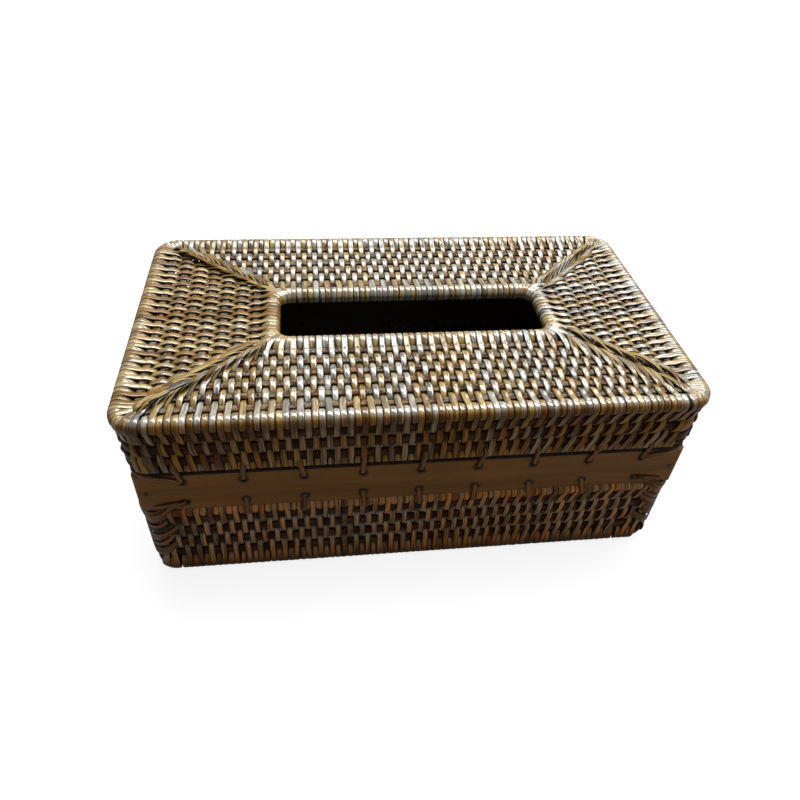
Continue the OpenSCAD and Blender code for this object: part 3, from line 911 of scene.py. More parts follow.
@dataclass
class CaneWork:
    """What every part has that is swept from strips.

    Attributes:
        sizes: the cover's sizes.
        sweep: the sweep that all parts share.
        finish: the part's material.
        slot: the record's slot for it.
    """

    sizes: CoverSizes
    sweep: StripSweep
    finish: Material
    slot: str

    def dress(self, name: str, strips: list[Strip], width: float, thickness: float, node: str) -> None:
        """Sweeps strips into one piece that stands for a node.

        Args:
            name: the piece's name.
            strips: the strips.
            width: a full strip's width.
            thickness: its thickness.
            node: the node.
        """
        settle(self.sweep.sweep(name, strips, self.finish, width, thickness), self.slot, node)


# ---------------------------------------------------------------- weaves


@dataclass
class Weave(CaneWork):
    """What both weaves share: strips side by side on the four sides and round the corners.

    Attributes:
        title: the weave's name in its pieces and nodes.
        strip_w, strip_t: a strip's full width and thickness.
        seed: what its random numbers start from.
        to_high, to_low: how far strips drift towards the side's high and low end on their way
            down, and the shares of half the side between which that grows.
        sway: the spans of the size and of the wave length of a strip's sideways wave.
        roll: how much strips lean over, in radians.
        widths: the span of the strips' widths, as shares of the full width.
        swell: how much wider a strip looks on a rod, and narrower under one.
        lift: how far a strip's middle is from the middle of the rod that it crosses.
        lifts: the span of the strips' own shares of that.
        step: the distance between the places on a strip.
        lane_count: the number of strips on half an upright corner.
        corner_seed: what is added to the seed for those.
        below_rod: how far below the first rod's middle the part down the side starts.
        drift_bow: the power by which the drift grows on its way down.
        side_places: the number of places laid down the side.
        border_breadth: the strips' breadth round the border's rod.
    """

    title: str
    strip_w: float
    strip_t: float
    seed: int
    to_high: Three
    to_low: Three
    sway: tuple[Span, Span]
    roll: float
    widths: Span
    swell: float
    lift: float = 1.05
    lifts: Span = (0.9, 1.06)
    step: float = 1.0
    lane_count: int = 4
    corner_seed: int = 9
    below_rod: float = 0.2
    drift_bow: float = 1.0
    side_places: int = 80
    border_breadth: float = 1.2

    def strip(self, side: Side, lane: float, phase: int, rng: Rng) -> Strip:
        """Makes one strip. Each weave does it in its own way."""
        raise NotImplementedError

    def drift(self, side: Side, lane: float) -> float:
        """How far a strip drifts sideways on its way down the side.

        Args:
            side: the side.
            lane: where the strip starts.

        Returns:
            The distance, towards the side's low end where it is above 0.
        """
        half = self.sizes.half_along(side)
        high, low = (size * float(smooth(way * lane, start * half, end * half))
                     for way, (size, start, end) in ((1, self.to_high), (-1, self.to_low)))
        return high - low

    def cut(self, trail: Trail, tints: Span | float, rng: Rng) -> Strip:
        """Makes a strip of its trail, with a sway, a colour, a roll and a width of its own.

        Args:
            trail: the finished trail.
            tints: the span of the colour number, or the number itself.
            rng: the piece's own random numbers.

        Returns:
            The strip.
        """
        sway = (*(rng.uniform(*span) for span in self.sway), rng.uniform(0, FULL_TURN))
        tint = tints if isinstance(tints, float) else float(rng.uniform(*tints))
        strip = trail.strip(tint, self.step, sway, float(rng.normal(0, self.roll)))
        strip.breadth *= rng.uniform(*self.widths) * (1.0 + self.swell * strip.relief)
        return strip

    def round_rod(self, trail: Trail, q: float, rod: RodPlace, degrees: Three, relief: float,
                  breadth: float = 1.0) -> None:
        """Lays a strip round a rod that runs along the side.

        Args:
            trail: the trail to lay on.
            q: where the strip crosses the rod, along the outline.
            rod: the rod.
            degrees: the first angle, the one that it stops before and the step, with 90 on top.
            relief: the strip's relief there.
            breadth: its share of the full size.
        """
        angle = np.radians(np.arange(*degrees))
        p, u, turn = self.sizes.around(trail.side, np.full(len(angle), q), rod.inset - rod.bend * np.cos(angle))
        trail.lay(p, u, rod.z + rod.bend * np.sin(angle), turn, relief, breadth)

    def down_side(self, trail: Trail, lane: float, drift: float, stops: list[Three]) -> Array:
        """Finds the part of a strip that runs down the upright side, over and under the rods.

        Args:
            trail: the trail that it is for.
            lane: where the strip starts, along the outline.
            drift: how far it drifts back on its way down.
            stops: the height, the inset and the relief at each rod, from the top down.

        Returns:
            Rows of the distances along and out, the height, the turn and the relief.
        """
        stops = np.array(stops) * (-1.0, 1.0, 1.0)
        high, low = -stops[0, 0], -stops[-1, 0]
        z = np.linspace(high - self.below_rod, low, self.side_places)
        inset, relief = eased(-z, stops)
        fall = (high - z) / (high - low)
        p, u, turn = self.sizes.around(trail.side, lane - drift * fall ** self.drift_bow, inset)
        return np.stack([p, u, z, turn, relief])

    def build(self) -> None:
        """Makes the four sides and the upright corners."""
        for number, side in enumerate(Side):
            rng = np.random.default_rng(self.seed + number)
            strips = [self.strip(side, float(lane), k % 2, rng) for k, lane in enumerate(self.sizes.lanes(side))]
            name = f"{side.title}_{self.title}"
            self.dress(name + "_weave", strips, self.strip_w, self.strip_t, name + "_strips")
        rng = np.random.default_rng(self.seed + self.corner_seed)
        strips = [self.strip(side, float(lane), (k + (way < 0)) % 2, rng) for side in Side for way in (-1, 1)
                  for k, lane in enumerate(self.sizes.corner_lanes(side, way, self.lane_count))]
        self.dress(self.title + "_corner_weave", strips, self.strip_w, self.strip_t, self.title + "_corner_strips")


@dataclass
class UpperWeave(Weave):
    """The strips of the upper weave: from the slot or a mitre over the top and down the side.

    At the low end of a side its strips lie on the mitre, and at the high end they come out
    from under the strips of the next side. A pair of numbers is for the low and the high end.

    Attributes:
        rim_reach: how far past the slot's corner strips still start at the slot's rod.
        rim_fan: how far the last of those turns, in degrees.
        rim_breadth: the breadth of strips round the slot's corner.
        rim_settle: how far past the slot's rod a strip has settled into the weave: a straight
            one, one at the slot's corner, and what each millimetre round it adds.
        mitre_run: how far a strip runs along a mitre.
        run_shares: the span of the strips' own shares of that.
        mitre_first: how far from the slot the first strip on a mitre starts, and how much
            nearer the next ones may, for each millimetre between them.
        mitre_last: how far from the cover's corner the last one starts.
        mitre_tail: how far from the mitre it has settled into the weave.
        mitre_spread: its angle from the mitre, in degrees.
        mitre_aside: how far beside the mitre's middle it starts.
        mitre_level: the height that it starts at.
        right_bow: how far the mitre at the front right corner bows.
        bow_fade: between which distances before its last strip the bow grows.
        crests, stem_crests: how high strips and the strips along a mitre lie on it.
        rise, fall, settling: between which shares of its way a strip on a mitre rises to its
            crest, comes down from it, and settles into the weave.
        mitre_floor: the height that it comes down to.
        mitre_relief: its relief on the mitre.
        mitre_breadth: its breadth where it starts, and how much it gains.
        gain: between which shares of its way it does so.
        hook, edge_turn, border_turn: the angles round the slot's, the edge's and the border's
            rod: the first, the one that they stop before and the step, with 90 on top.
        handles: how far a strip's curve over the top holds its first and last direction.
        curve_places: the number of places on that curve.
        edge_room, corner_room: how far from the edge rod that curve ends, on a straight part
            and in an upright corner.
        tints, left_tints: the spans of the colour numbers, and those of the left side.
        dark_tint: the colour number of the dark strips.
        dark_lanes: between which places at the front the dark strips are.
        side_breadth: the strips' breadth down the side.
        stem_seed: what is added to the seed for the strips along the mitres.
        stems: where the strips along each mitre cross the corner, as shares of half its arc
            below or above a side's straight part, and how far they run, as shares of the usual.
    """

    title: str = "upper"
    strip_w: float = 2.9
    strip_t: float = 0.75
    seed: int = 11
    to_high: Three = (10.5, 0.0, 0.75)
    to_low: Three = (4.0, 0.35, 0.8)
    sway: tuple[Span, Span] = ((0.05, 0.22), (18.0, 40.0))
    roll: float = 0.05
    widths: Span = (0.96, 1.04)
    swell: float = 0.12
    rim_reach: float = 11.5
    rim_fan: float = 46.0
    rim_breadth: float = 0.85
    rim_settle: Three = (2.0, 6.0, 1.4)
    mitre_run: Span = (17.0, 14.0)
    run_shares: Span = (0.85, 1.15)
    mitre_first: Span = (5.2, 0.25)
    mitre_last: float = 15.0
    mitre_tail: Span = (9.0, 15.0)
    mitre_spread: Span = (27.0, 31.0)
    mitre_aside: Span = (2.0, -0.8)
    mitre_level: Span = (98.1, 97.4)
    right_bow: float = 6.0
    bow_fade: Span = (-4.0, 12.0)
    crests: Span = (100.4, 99.2)
    stem_crests: Span = (101.1, 99.6)
    rise: Span = (0.0, 0.34)
    fall: Span = (0.5, 0.95)
    settling: Span = (0.45, 0.85)
    mitre_floor: float = 99.0
    mitre_relief: float = -0.15
    mitre_breadth: Span = (0.6, 0.36)
    gain: Span = (0.0, 0.35)
    hook: Three = (262.0, 92.0, -10.0)
    edge_turn: Three = (90.0, 4.0, -9.0)
    border_turn: Three = (-12.0, -150.0, -14.0)
    handles: Span = (0.42, 0.38)
    curve_places: int = 40
    edge_room: float = 3.0
    corner_room: float = 2.5
    tints: Span = (-0.08, 1.0)
    left_tints: Span = (-0.4, 0.4)
    dark_tint: float = 0.99
    dark_lanes: Span = (-121.5, -115.0)
    drift_bow: float = 1.25
    side_places: int = 60
    side_breadth: float = 0.92
    border_breadth: float = 1.12
    stem_seed: int = 19
    stems: tuple[Span, ...] = ((-0.55, 1.5), (-0.9, 2.1), (-0.2, 1.9), (0.7, 1.6))

    def from_slot(self, trail: Trail, lane: float, way: int, beyond: float) -> tuple[Array, Array, float]:
        """Lays a strip's hook round the slot's rod.

        Args:
            trail: the trail to lay on.
            lane: where the strip crosses the edge.
            way: the end of the side that it is nearer to.
            beyond: how far past the start of the slot's corner it is.

        Returns:
            Where it leaves the rod, the way it goes there, and how far out it has settled.
        """
        sizes, side = self.sizes, trail.side
        rod, out = sizes.edge_rod, sizes.slot_out(side)
        straight = beyond <= 0
        phi = way * max(0.0, beyond) / self.rim_reach * math.radians(self.rim_fan)
        middle = np.array([lane if straight else sizes.slot_end(side, way) - way * sizes.slot_bend,
                           out - sizes.slot_bend])
        ahead = np.array([math.sin(phi), math.cos(phi)])
        reach = sizes.slot_bend + rod.inset
        angle = np.radians(np.arange(*self.hook))
        ring = reach + rod.bend * np.cos(angle)
        trail.lay(middle[0] + ring * ahead[0], middle[1] + ring * ahead[1], rod.z + rod.bend * np.sin(angle),
                  phi, 0.7, 1.0 if straight else self.rim_breadth)
        past, bent, more = self.rim_settle
        return middle + reach * ahead, ahead, out + rod.inset + (past if straight else bent + more * beyond)

    def from_mitre(self, side: Side, lane: float, way: int, beyond: float,
                   share: float) -> tuple[Array, Array, float]:
        """Finds where a strip starts on a mitre.

        Args:
            side: the side.
            lane: where the strip crosses the edge.
            way: the end of the side that it is nearer to.
            beyond: how far past the start of the slot's corner it is.
            share: how long it runs along the mitre, as a share of the usual.

        Returns:
            Where it starts, the way it goes there, and how far out it has settled.
        """
        sizes, high = self.sizes, way > 0
        end, out = sizes.slot_end(side, way), sizes.slot_out(side)
        corner = np.array([way * sizes.half_along(side) - end, sizes.half_out(side) - out])
        ahead = corner / np.linalg.norm(corner)
        aside = np.array([way * abs(ahead[1]), -abs(ahead[0])])
        cross = way * (lane - end) / abs(ahead[0])
        limit = np.linalg.norm([sizes.half_along(side) - abs(end), corner[1]]) - self.mitre_last * share
        nearest, nearer = self.mitre_first
        run = min(max(cross - self.mitre_run[high] * share, nearest - nearer * (beyond - self.rim_reach)), limit)
        bowed = (side, way) in ((Side.FRONT, 1), (Side.RIGHT, -1))
        bow = self.right_bow * way * bowed * float(smooth(limit - run, *self.bow_fade))
        spread = math.radians(self.mitre_spread[high])
        return (np.array([end, out]) + ahead * run + aside * (self.mitre_aside[high] + bow),
                ahead * math.cos(spread) - aside * math.sin(spread), out + cross * ahead[1] + self.mitre_tail[high])

    def start(self, trail: Trail, lane: float, share: float) -> tuple[Array, Array, Array, bool]:
        """Lays the strip's first part and finds its way over the top panel.

        Args:
            trail: the trail to lay on.
            lane: where the strip crosses the edge.
            share: how long a strip runs along a mitre, as a share of the usual.

        Returns:
            The plan line's places along and outwards, its share of settling into the weave at
            each place, and whether it starts on a mitre.
        """
        sizes, side = self.sizes, trail.side
        way = 1 if lane > sizes.slot_shift(side) else -1
        beyond = way * (lane - sizes.slot_end(side, way)) + sizes.slot_bend
        on_mitre = beyond >= self.rim_reach
        if on_mitre:
            first, first_way, settled = self.from_mitre(side, lane, way, beyond, share)
        else:
            first, first_way, settled = self.from_slot(trail, lane, way, beyond)
        *edge, turn = (float(part) for part in sizes.around(side, np.array(lane), np.array(sizes.edge_rod.inset)))
        exit_way = np.array([math.sin(turn), math.cos(turn)])
        if abs(lane) <= sizes.flat(side):
            last = np.array([lane, max(min(settled, edge[1] - self.edge_room), first[1] + 2.0)])
        else:
            last = np.array(edge) - exit_way * self.corner_room
        gap = float(np.linalg.norm(last - first))
        t = np.linspace(0.0, 1.0, self.curve_places)[:, None]
        one, two = first + first_way * gap * self.handles[0], last - exit_way * gap * self.handles[1]
        line = (1 - t) ** 3 * first + 3 * (1 - t) ** 2 * t * one + 3 * (1 - t) * t ** 2 * two + t ** 3 * last
        tail = np.linspace(last, edge, max(3, int(np.linalg.norm(last - edge) / 0.5)))[1:]
        line = np.concatenate([line, tail])
        return line[:, 0], line[:, 1], np.concatenate([t[:, 0], np.ones(len(tail))]), on_mitre

    def weave_height(self, side: Side, u: Array, phase: int, lift: float) -> tuple[Array, Array]:
        """The height of a strip between the slot and the edge.

        Args:
            side: the side.
            u: the places outwards.
            phase: 0 or 1, which of two neighbours the strip is.
            lift: how far its middle is from a rod's middle.

        Returns:
            The heights and the relief.
        """
        sizes, rods = self.sizes, self.sizes.rods(side)
        inset, top = sizes.edge_rod.inset, sizes.edge_rod.z + sizes.edge_rod.bend
        crossings = [(rod, sizes.top_z + over * lift, over) for rod, over in zip(rods, overs(phase, len(rods)))]
        height, relief = eased(u, np.array([(sizes.slot_out(side) + inset, top, 1.0), *crossings,
                                            (sizes.half_out(side) - inset, top, 1.0)]))
        return height, relief

    def skirt(self, trail: Trail, lane: float, phase: int, lift: float) -> None:
        """Lays the strip over the edge rod, down the side and round the border rod.

        Args:
            trail: the trail to lay on.
            lane: where the strip crosses the edge.
            phase: which of two neighbours the strip is.
            lift: how far its middle is from a rod's middle.
        """
        sizes = self.sizes
        edge, border = sizes.edge_rod, sizes.border_rod
        drift = self.drift(trail.side, lane)
        self.round_rod(trail, lane, edge, self.edge_turn, 0.9)
        turns = overs(len(sizes.rods(trail.side)) + phase, len(sizes.side_z))
        stops = [(edge.z, edge.inset - edge.bend, 1.0),
                 *[(z, sizes.side_in - over * lift, over) for z, over in zip(sizes.side_z, turns)],
                 (border.z, border.inset - border.bend, 0.6)]
        trail.lay(*self.down_side(trail, lane, drift, stops), self.side_breadth)
        self.round_rod(trail, lane - drift, border, self.border_turn, 0.0, self.border_breadth)

    def strip(self, side: Side, lane: float, phase: int, rng: Rng, share: float = 1.0,
              crests: Span | None = None) -> Strip:
        """Makes one strip.

        Args:
            side: the side that it belongs to.
            lane: where it crosses the edge.
            phase: 0 or 1, which of two neighbours it is.
            rng: the piece's own random numbers.
            share: how long it runs along a mitre, as a share of the usual.
            crests: how high it lies on a mitre at the side's low and high end.

        Returns:
            The strip.
        """
        trail = Trail(side)
        lift = self.lift * rng.uniform(*self.lifts)
        p, u, along, on_mitre = self.start(trail, lane, share * rng.uniform(*self.run_shares))
        z, relief = self.weave_height(side, u, phase, lift)
        breadth = np.ones(len(p))
        if on_mitre:
            high = lane > self.sizes.slot_shift(side)
            level, crest = self.mitre_level[high], (crests or self.crests)[lane > 0]
            up, settled = smooth(along, *self.rise), smooth(along, *self.settling)
            lying = level + (crest - level) * up - (crest - self.mitre_floor) * smooth(along, *self.fall)
            z = lying + (z - lying) * settled
            relief = self.mitre_relief + (relief - self.mitre_relief) * settled
            breadth = self.mitre_breadth[0] + self.mitre_breadth[1] * smooth(along, *self.gain)
        trail.lay(p, u, z, np.arctan2(np.gradient(p), np.gradient(u)), relief, breadth)
        self.skirt(trail, lane, phase, lift)
        if side is Side.FRONT and self.dark_lanes[0] < lane < self.dark_lanes[1]:
            return self.cut(trail, self.dark_tint, rng)
        return self.cut(trail, self.left_tints if side is Side.LEFT else self.tints, rng)

    def build(self) -> None:
        """Makes the four panels, the upright corners and the strips along the mitres."""
        super().build()
        rng = np.random.default_rng(self.seed + self.stem_seed)
        strips = []
        for side in Side:
            for place, share in self.stems:
                lane = math.copysign(self.sizes.flat(side), place) + place * self.sizes.arc
                strips.append(self.strip(side, lane, int(rng.integers(2)), rng, share, self.stem_crests))
        self.dress("mitre_stems", strips, self.strip_w, self.strip_t, "mitre_strips")


@dataclass
class LowerWeave(Weave):
    """The strips of the lower weave, from its upper border rod down round the base rod.

    Attributes:
        foot_breadth: how much broader the strips are round the base rod.
        border_turn, base_turn: the angles round the border's and the base's rod: the first, the
            one that they stop before and the step, with 90 on top.
        base_ease: from how high above the base rod the strips broaden.
    """

    title: str = "lower"
    strip_w: float = 2.75
    strip_t: float = 0.8
    seed: int = 31
    to_high: Three = (9.5, -0.05, 0.7)
    to_low: Three = (1.5, 0.7, 0.95)
    sway: tuple[Span, Span] = ((0.03, 0.15), (14.0, 30.0))
    roll: float = 0.06
    widths: Span = (0.97, 1.06)
    swell: float = 0.0
    border_turn: Three = (200.0, 8.0, -12.0)
    base_turn: Three = (-8.0, -40.0, -8.0)
    base_ease: float = 5.0
    foot_breadth: float = 0.17

    def strip(self, side: Side, lane: float, phase: int, rng: Rng) -> Strip:
        """Makes one strip.

        Args:
            side: the side that it belongs to.
            lane: where it starts at the upper border.
            phase: 0 or 1, which of two neighbours it is.
            rng: the piece's own random numbers.

        Returns:
            The strip.
        """
        sizes, trail = self.sizes, Trail(side)
        border, base = sizes.low_border_rod, sizes.base_rod
        lift = self.lift * rng.uniform(*self.lifts)
        drift = self.drift(side, lane)
        self.round_rod(trail, lane, border, self.border_turn, 0.5, self.border_breadth)
        turns = overs(phase, len(sizes.low_z))
        stops = [(border.z, border.inset - border.bend, 0.8),
                 *[(z, sizes.low_in - over * lift, over) for z, over in zip(sizes.low_z, turns)],
                 (base.z, base.inset - base.bend, 1.0)]
        run = self.down_side(trail, lane, drift, stops)
        trail.lay(*run, 1.0 + self.foot_breadth * smooth(run[2], base.z + self.base_ease, base.z))
        self.round_rod(trail, lane - drift, base, self.base_turn, 0.4, 1.0 + self.foot_breadth)
        return self.cut(trail, (0.0, 1.0), rng)


# ---------------------------------------------------------------- stitches and lashings


@dataclass
class Stitching(CaneWork):
    """The cane that sews the weaves to the boards: short stitches, and lashings round the corners.

    Attributes:
        stitch_w, stitch_t: a stitch's width and thickness.
        step: the distance between the places on a stitch.
        seed: what the random numbers start from.
        leans: how far the upper and the lower stitches may lean.
        tints: the span of the colour numbers.
        over_weave, under_band: the stops of an upper stitch before its hole and of a lower one
            after it: a share of its lean, how far it is inside the outline, and its height.
        in_high, in_low: those in the hole, with the height above the hole's middle.
        skews: how far an upper lashing, a wrap from a hole and a wrap of the weave may lie lower
            or higher on the second side.
        rises: how much higher than the first each upper lashing lies.
        lashing_w: the width of those, as a share of a stitch's.
        wrap_ends: how high the wraps from a lower hole lie at the corner.
        weave_wraps: the number of wraps of the lower weave at each corner.
        wrap_top, wrap_pitch, wrap_shift: the height of the first, their pitch, and how far each
            may be off it.
        wrap_reach: the span of how far they go along a side.
        lying_at, lying_in: heights, and how far inside the outline a lashing lies there.
        pairs: the sides that meet at each corner: the one whose high end is there comes first.
    """

    stitch_w: float = 2.6
    stitch_t: float = 0.65
    step: float = 0.7
    seed: int = 71
    leans: Span = (1.6, 1.4)
    tints: Span = (0.2, 1.0)
    in_high: tuple[Three, ...] = ((-0.05, 3.3, 0.7), (-0.05, 4.6, -0.1), (-0.05, 6.4, -0.2))
    in_low: tuple[Three, ...] = ((0.0, 6.4, 0.2), (0.0, 4.6, 0.1), (0.0, 3.3, -0.7), (0.2, 3.1, -2.0))
    over_weave: tuple[Three, ...] = ((2.0, 3.6, 76.4), (1.7, 1.9, 75.4), (1.4, 0.55, 73.8), (1.2, 0.5, 72.3),
                                      (0.8, 1.75, 70.3), (0.6, 1.8, 68.2), (0.3, 2.9, 65.4), (0.0, 3.15, 63.4))
    under_band: tuple[Three, ...] = ((0.6, 2.7, 44.6), (0.9, 2.0, 43.2), (1.1, 1.85, 41.6), (1.3, 2.4, 40.0),
                                      (1.4, 4.4, 38.6))
    skews: Three = (0.3, 0.4, 1.5)
    rises: Span = (0.0, 1.2)
    lashing_w: float = 0.9
    wrap_ends: tuple[float, ...] = (46.0, 44.6, 43.0, 41.2, 39.0)
    weave_wraps: int = 8
    wrap_top: float = 35.8
    wrap_pitch: float = 3.4
    wrap_shift: float = 0.7
    wrap_reach: Span = (7.0, 13.0)
    lying_at: tuple[float, ...] = (37.5, 39.5, 41.8, 43.7, 45.3)
    lying_in: tuple[float, ...] = (2.5, 2.15, 1.8, 2.35, 3.25)
    pairs: tuple[tuple[Side, Side], ...] = ((Side.FRONT, Side.RIGHT), (Side.RIGHT, Side.BACK),
                                            (Side.BACK, Side.LEFT), (Side.LEFT, Side.FRONT))

    def holes(self, side: Side, high: bool) -> list[float]:
        """Where the stitches of a side leave its board, in its upper or its lower row."""
        count = (3 if side.long else 1) + high
        return [k * self.sizes.hole_pitch for k in range(-count, count + 1)]

    def line(self, stops: list[tuple[Side, float, float, float]], rng: Rng) -> Strip:
        """Draws a strip through stops.

        Args:
            stops: the side, the place along the outline, the inset and the height of each.
            rng: the random numbers, for its colour.

        Returns:
            The strip.
        """
        points, outward = [], []
        for side, q, inset, z in stops:
            p, u, turn = self.sizes.around(side, np.array(q), np.array(inset))
            points.append(side.world(p, u, np.array(z)))
            outward.append(side.world(np.sin(turn), np.cos(turn), np.array(0.0)))
        return drawn(np.array(points), np.array(outward), self.step, rng.uniform(*self.tints))

    def stitch(self, side: Side, p: float, high: bool, rng: Rng) -> Strip:
        """Makes one stitch, over the seat rod into an upper hole or from a lower one over the border.

        Args:
            side: the side.
            p: where its hole is along the side.
            high: whether it is an upper one.
            rng: the stitches' random numbers.

        Returns:
            The strip.
        """
        hole = self.sizes.hole_high if high else self.sizes.hole_low
        inside = [(share, inset, hole + z) for share, inset, z in (self.in_high if high else self.in_low)]
        stops = [*self.over_weave, *inside] if high else [*inside, *self.under_band]
        most = self.leans[not high]
        lean = rng.uniform(-most, most)
        return self.line([(side, p + lean * share, inset, z) for share, inset, z in stops], rng)

    def round_corner(self, pair: tuple[Side, Side], legs: list[Three], skew: float,
                     rng: Rng) -> Strip:
        """Draws a strip from one side's last hole round the corner to the next side's.

        Args:
            pair: the sides that meet at the corner.
            legs: stops from the hole to the corner, as distance from the corner, inset and height.
            skew: how much lower or higher the second leg may be.
            rng: the lashings' random numbers.

        Returns:
            The strip.
        """
        side, after = pair
        near, far = (self.sizes.flat(one) + self.sizes.arc for one in pair)
        skew = rng.uniform(-skew, skew)
        stops = [(side, near - off, inset, z) for off, inset, z in legs]
        for off, inset, z in reversed(legs[:-1]):
            shifted = smooth(off, 0.0, 12.0) * smooth(-off, -21.4, -17.0)
            stops.append((after, -far + off, inset, z - skew * shifted))
        return self.line(stops, rng)

    def over(self, height: float) -> float:
        """How far inside the outline a lashing lies at a height: on the board, the border or the weave."""
        return float(np.interp(height, self.lying_at, self.lying_in))

    def top_lashing(self, hole: float, rise: float) -> list[Three]:
        """One of the two strands that climb from the last upper hole to the corner.

        Args:
            hole: the hole's distance from the corner.
            rise: how much higher the strand lies.

        Returns:
            The stops up to the corner.
        """
        z = self.sizes.hole_high
        return [(hole, 6.2, z), (hole - 0.2, 4.4, z + 0.2), (hole - 1.2 - rise, 3.25, z + 0.6 + rise),
                (hole - 6.0, 3.15, z + 2.1 + rise * 0.8), (hole - 11.0, 3.0, z + 3.4 + rise * 0.7),
                (4.6, 2.6, z + 4.6 + rise * 0.6), (0.0, 2.3, z + 5.0 + rise * 0.6)]

    def hole_wrap(self, hole: float, number: int, end: float) -> list[Three]:
        """One of the wraps that fan out from the last lower hole.

        Args:
            hole: the hole's distance from the corner.
            number: how many wraps lie under it.
            end: its height at the corner.

        Returns:
            The stops up to the corner.
        """
        z = self.sizes.hole_low
        legs = [(hole, 6.2, z), (hole - 0.2, 4.4, z - 0.1), (hole - 1.2, 3.25 - 0.1 * number, z - 0.1 * number)]
        for off in (hole - 4.0, hole - 7.0, hole - 10.0, hole - 13.0, 7.0, 3.5, 0.0):
            height = z + (end - z) * float(smooth(hole - off, 0.5, hole - 2.0)) - 0.15 * number
            legs.append((off, self.over(height) - 0.08 * number, height))
        return legs

    def weave_wrap(self, end: float, reach: float) -> list[Three]:
        """One of the wraps round the corner of the lower weave.

        Args:
            end: its height at the corner.
            reach: how far it goes along the side before it dives into the weave.

        Returns:
            The stops up to the corner.
        """
        return [(reach + 2.6, 5.0, end + 0.45 * reach + 1.4), (reach + 0.8, 3.0, end + 0.45 * reach + 0.5),
                (reach * 0.7, 2.5, end + 0.25 * reach), (reach * 0.35, 2.35, end + 0.07 * reach), (0.0, 2.25, end)]

    def build(self) -> None:
        """Makes the stitches and the lashings."""
        sizes = self.sizes
        rng = np.random.default_rng(self.seed)
        highs, lows = ([self.stitch(side, p, high, rng) for side in Side for p in self.holes(side, high)]
                       for high in (True, False))
        hole = sizes.arc + sizes.flat(Side.FRONT) - 4 * sizes.hole_pitch
        tops, wraps = [], []
        for pair in self.pairs:
            tops += [self.round_corner(pair, self.top_lashing(hole, rise), self.skews[0], rng) for rise in self.rises]
            wraps += [self.round_corner(pair, self.hole_wrap(hole, k, end), self.skews[1], rng)
                      for k, end in enumerate(self.wrap_ends)]
            for k in range(self.weave_wraps):
                end = self.wrap_top - self.wrap_pitch * k + rng.uniform(-self.wrap_shift, self.wrap_shift)
                legs = self.weave_wrap(end, rng.uniform(*self.wrap_reach))
                wraps.append(self.round_corner(pair, legs, self.skews[2], rng))
        width, thickness = self.stitch_w, self.stitch_t
        self.dress("upper_stitching", highs, width, thickness, "upper_stitches")
        self.dress("lower_stitching", lows, width, thickness, "lower_stitches")
        self.dress("upper_lashings", tops, width * self.lashing_w, thickness, "upper_corner_lashings")
        self.dress("lower_lashings", wraps, width, thickness, "lower_corner_lashings")


# ---------------------------------------------------------------- rods under the strips


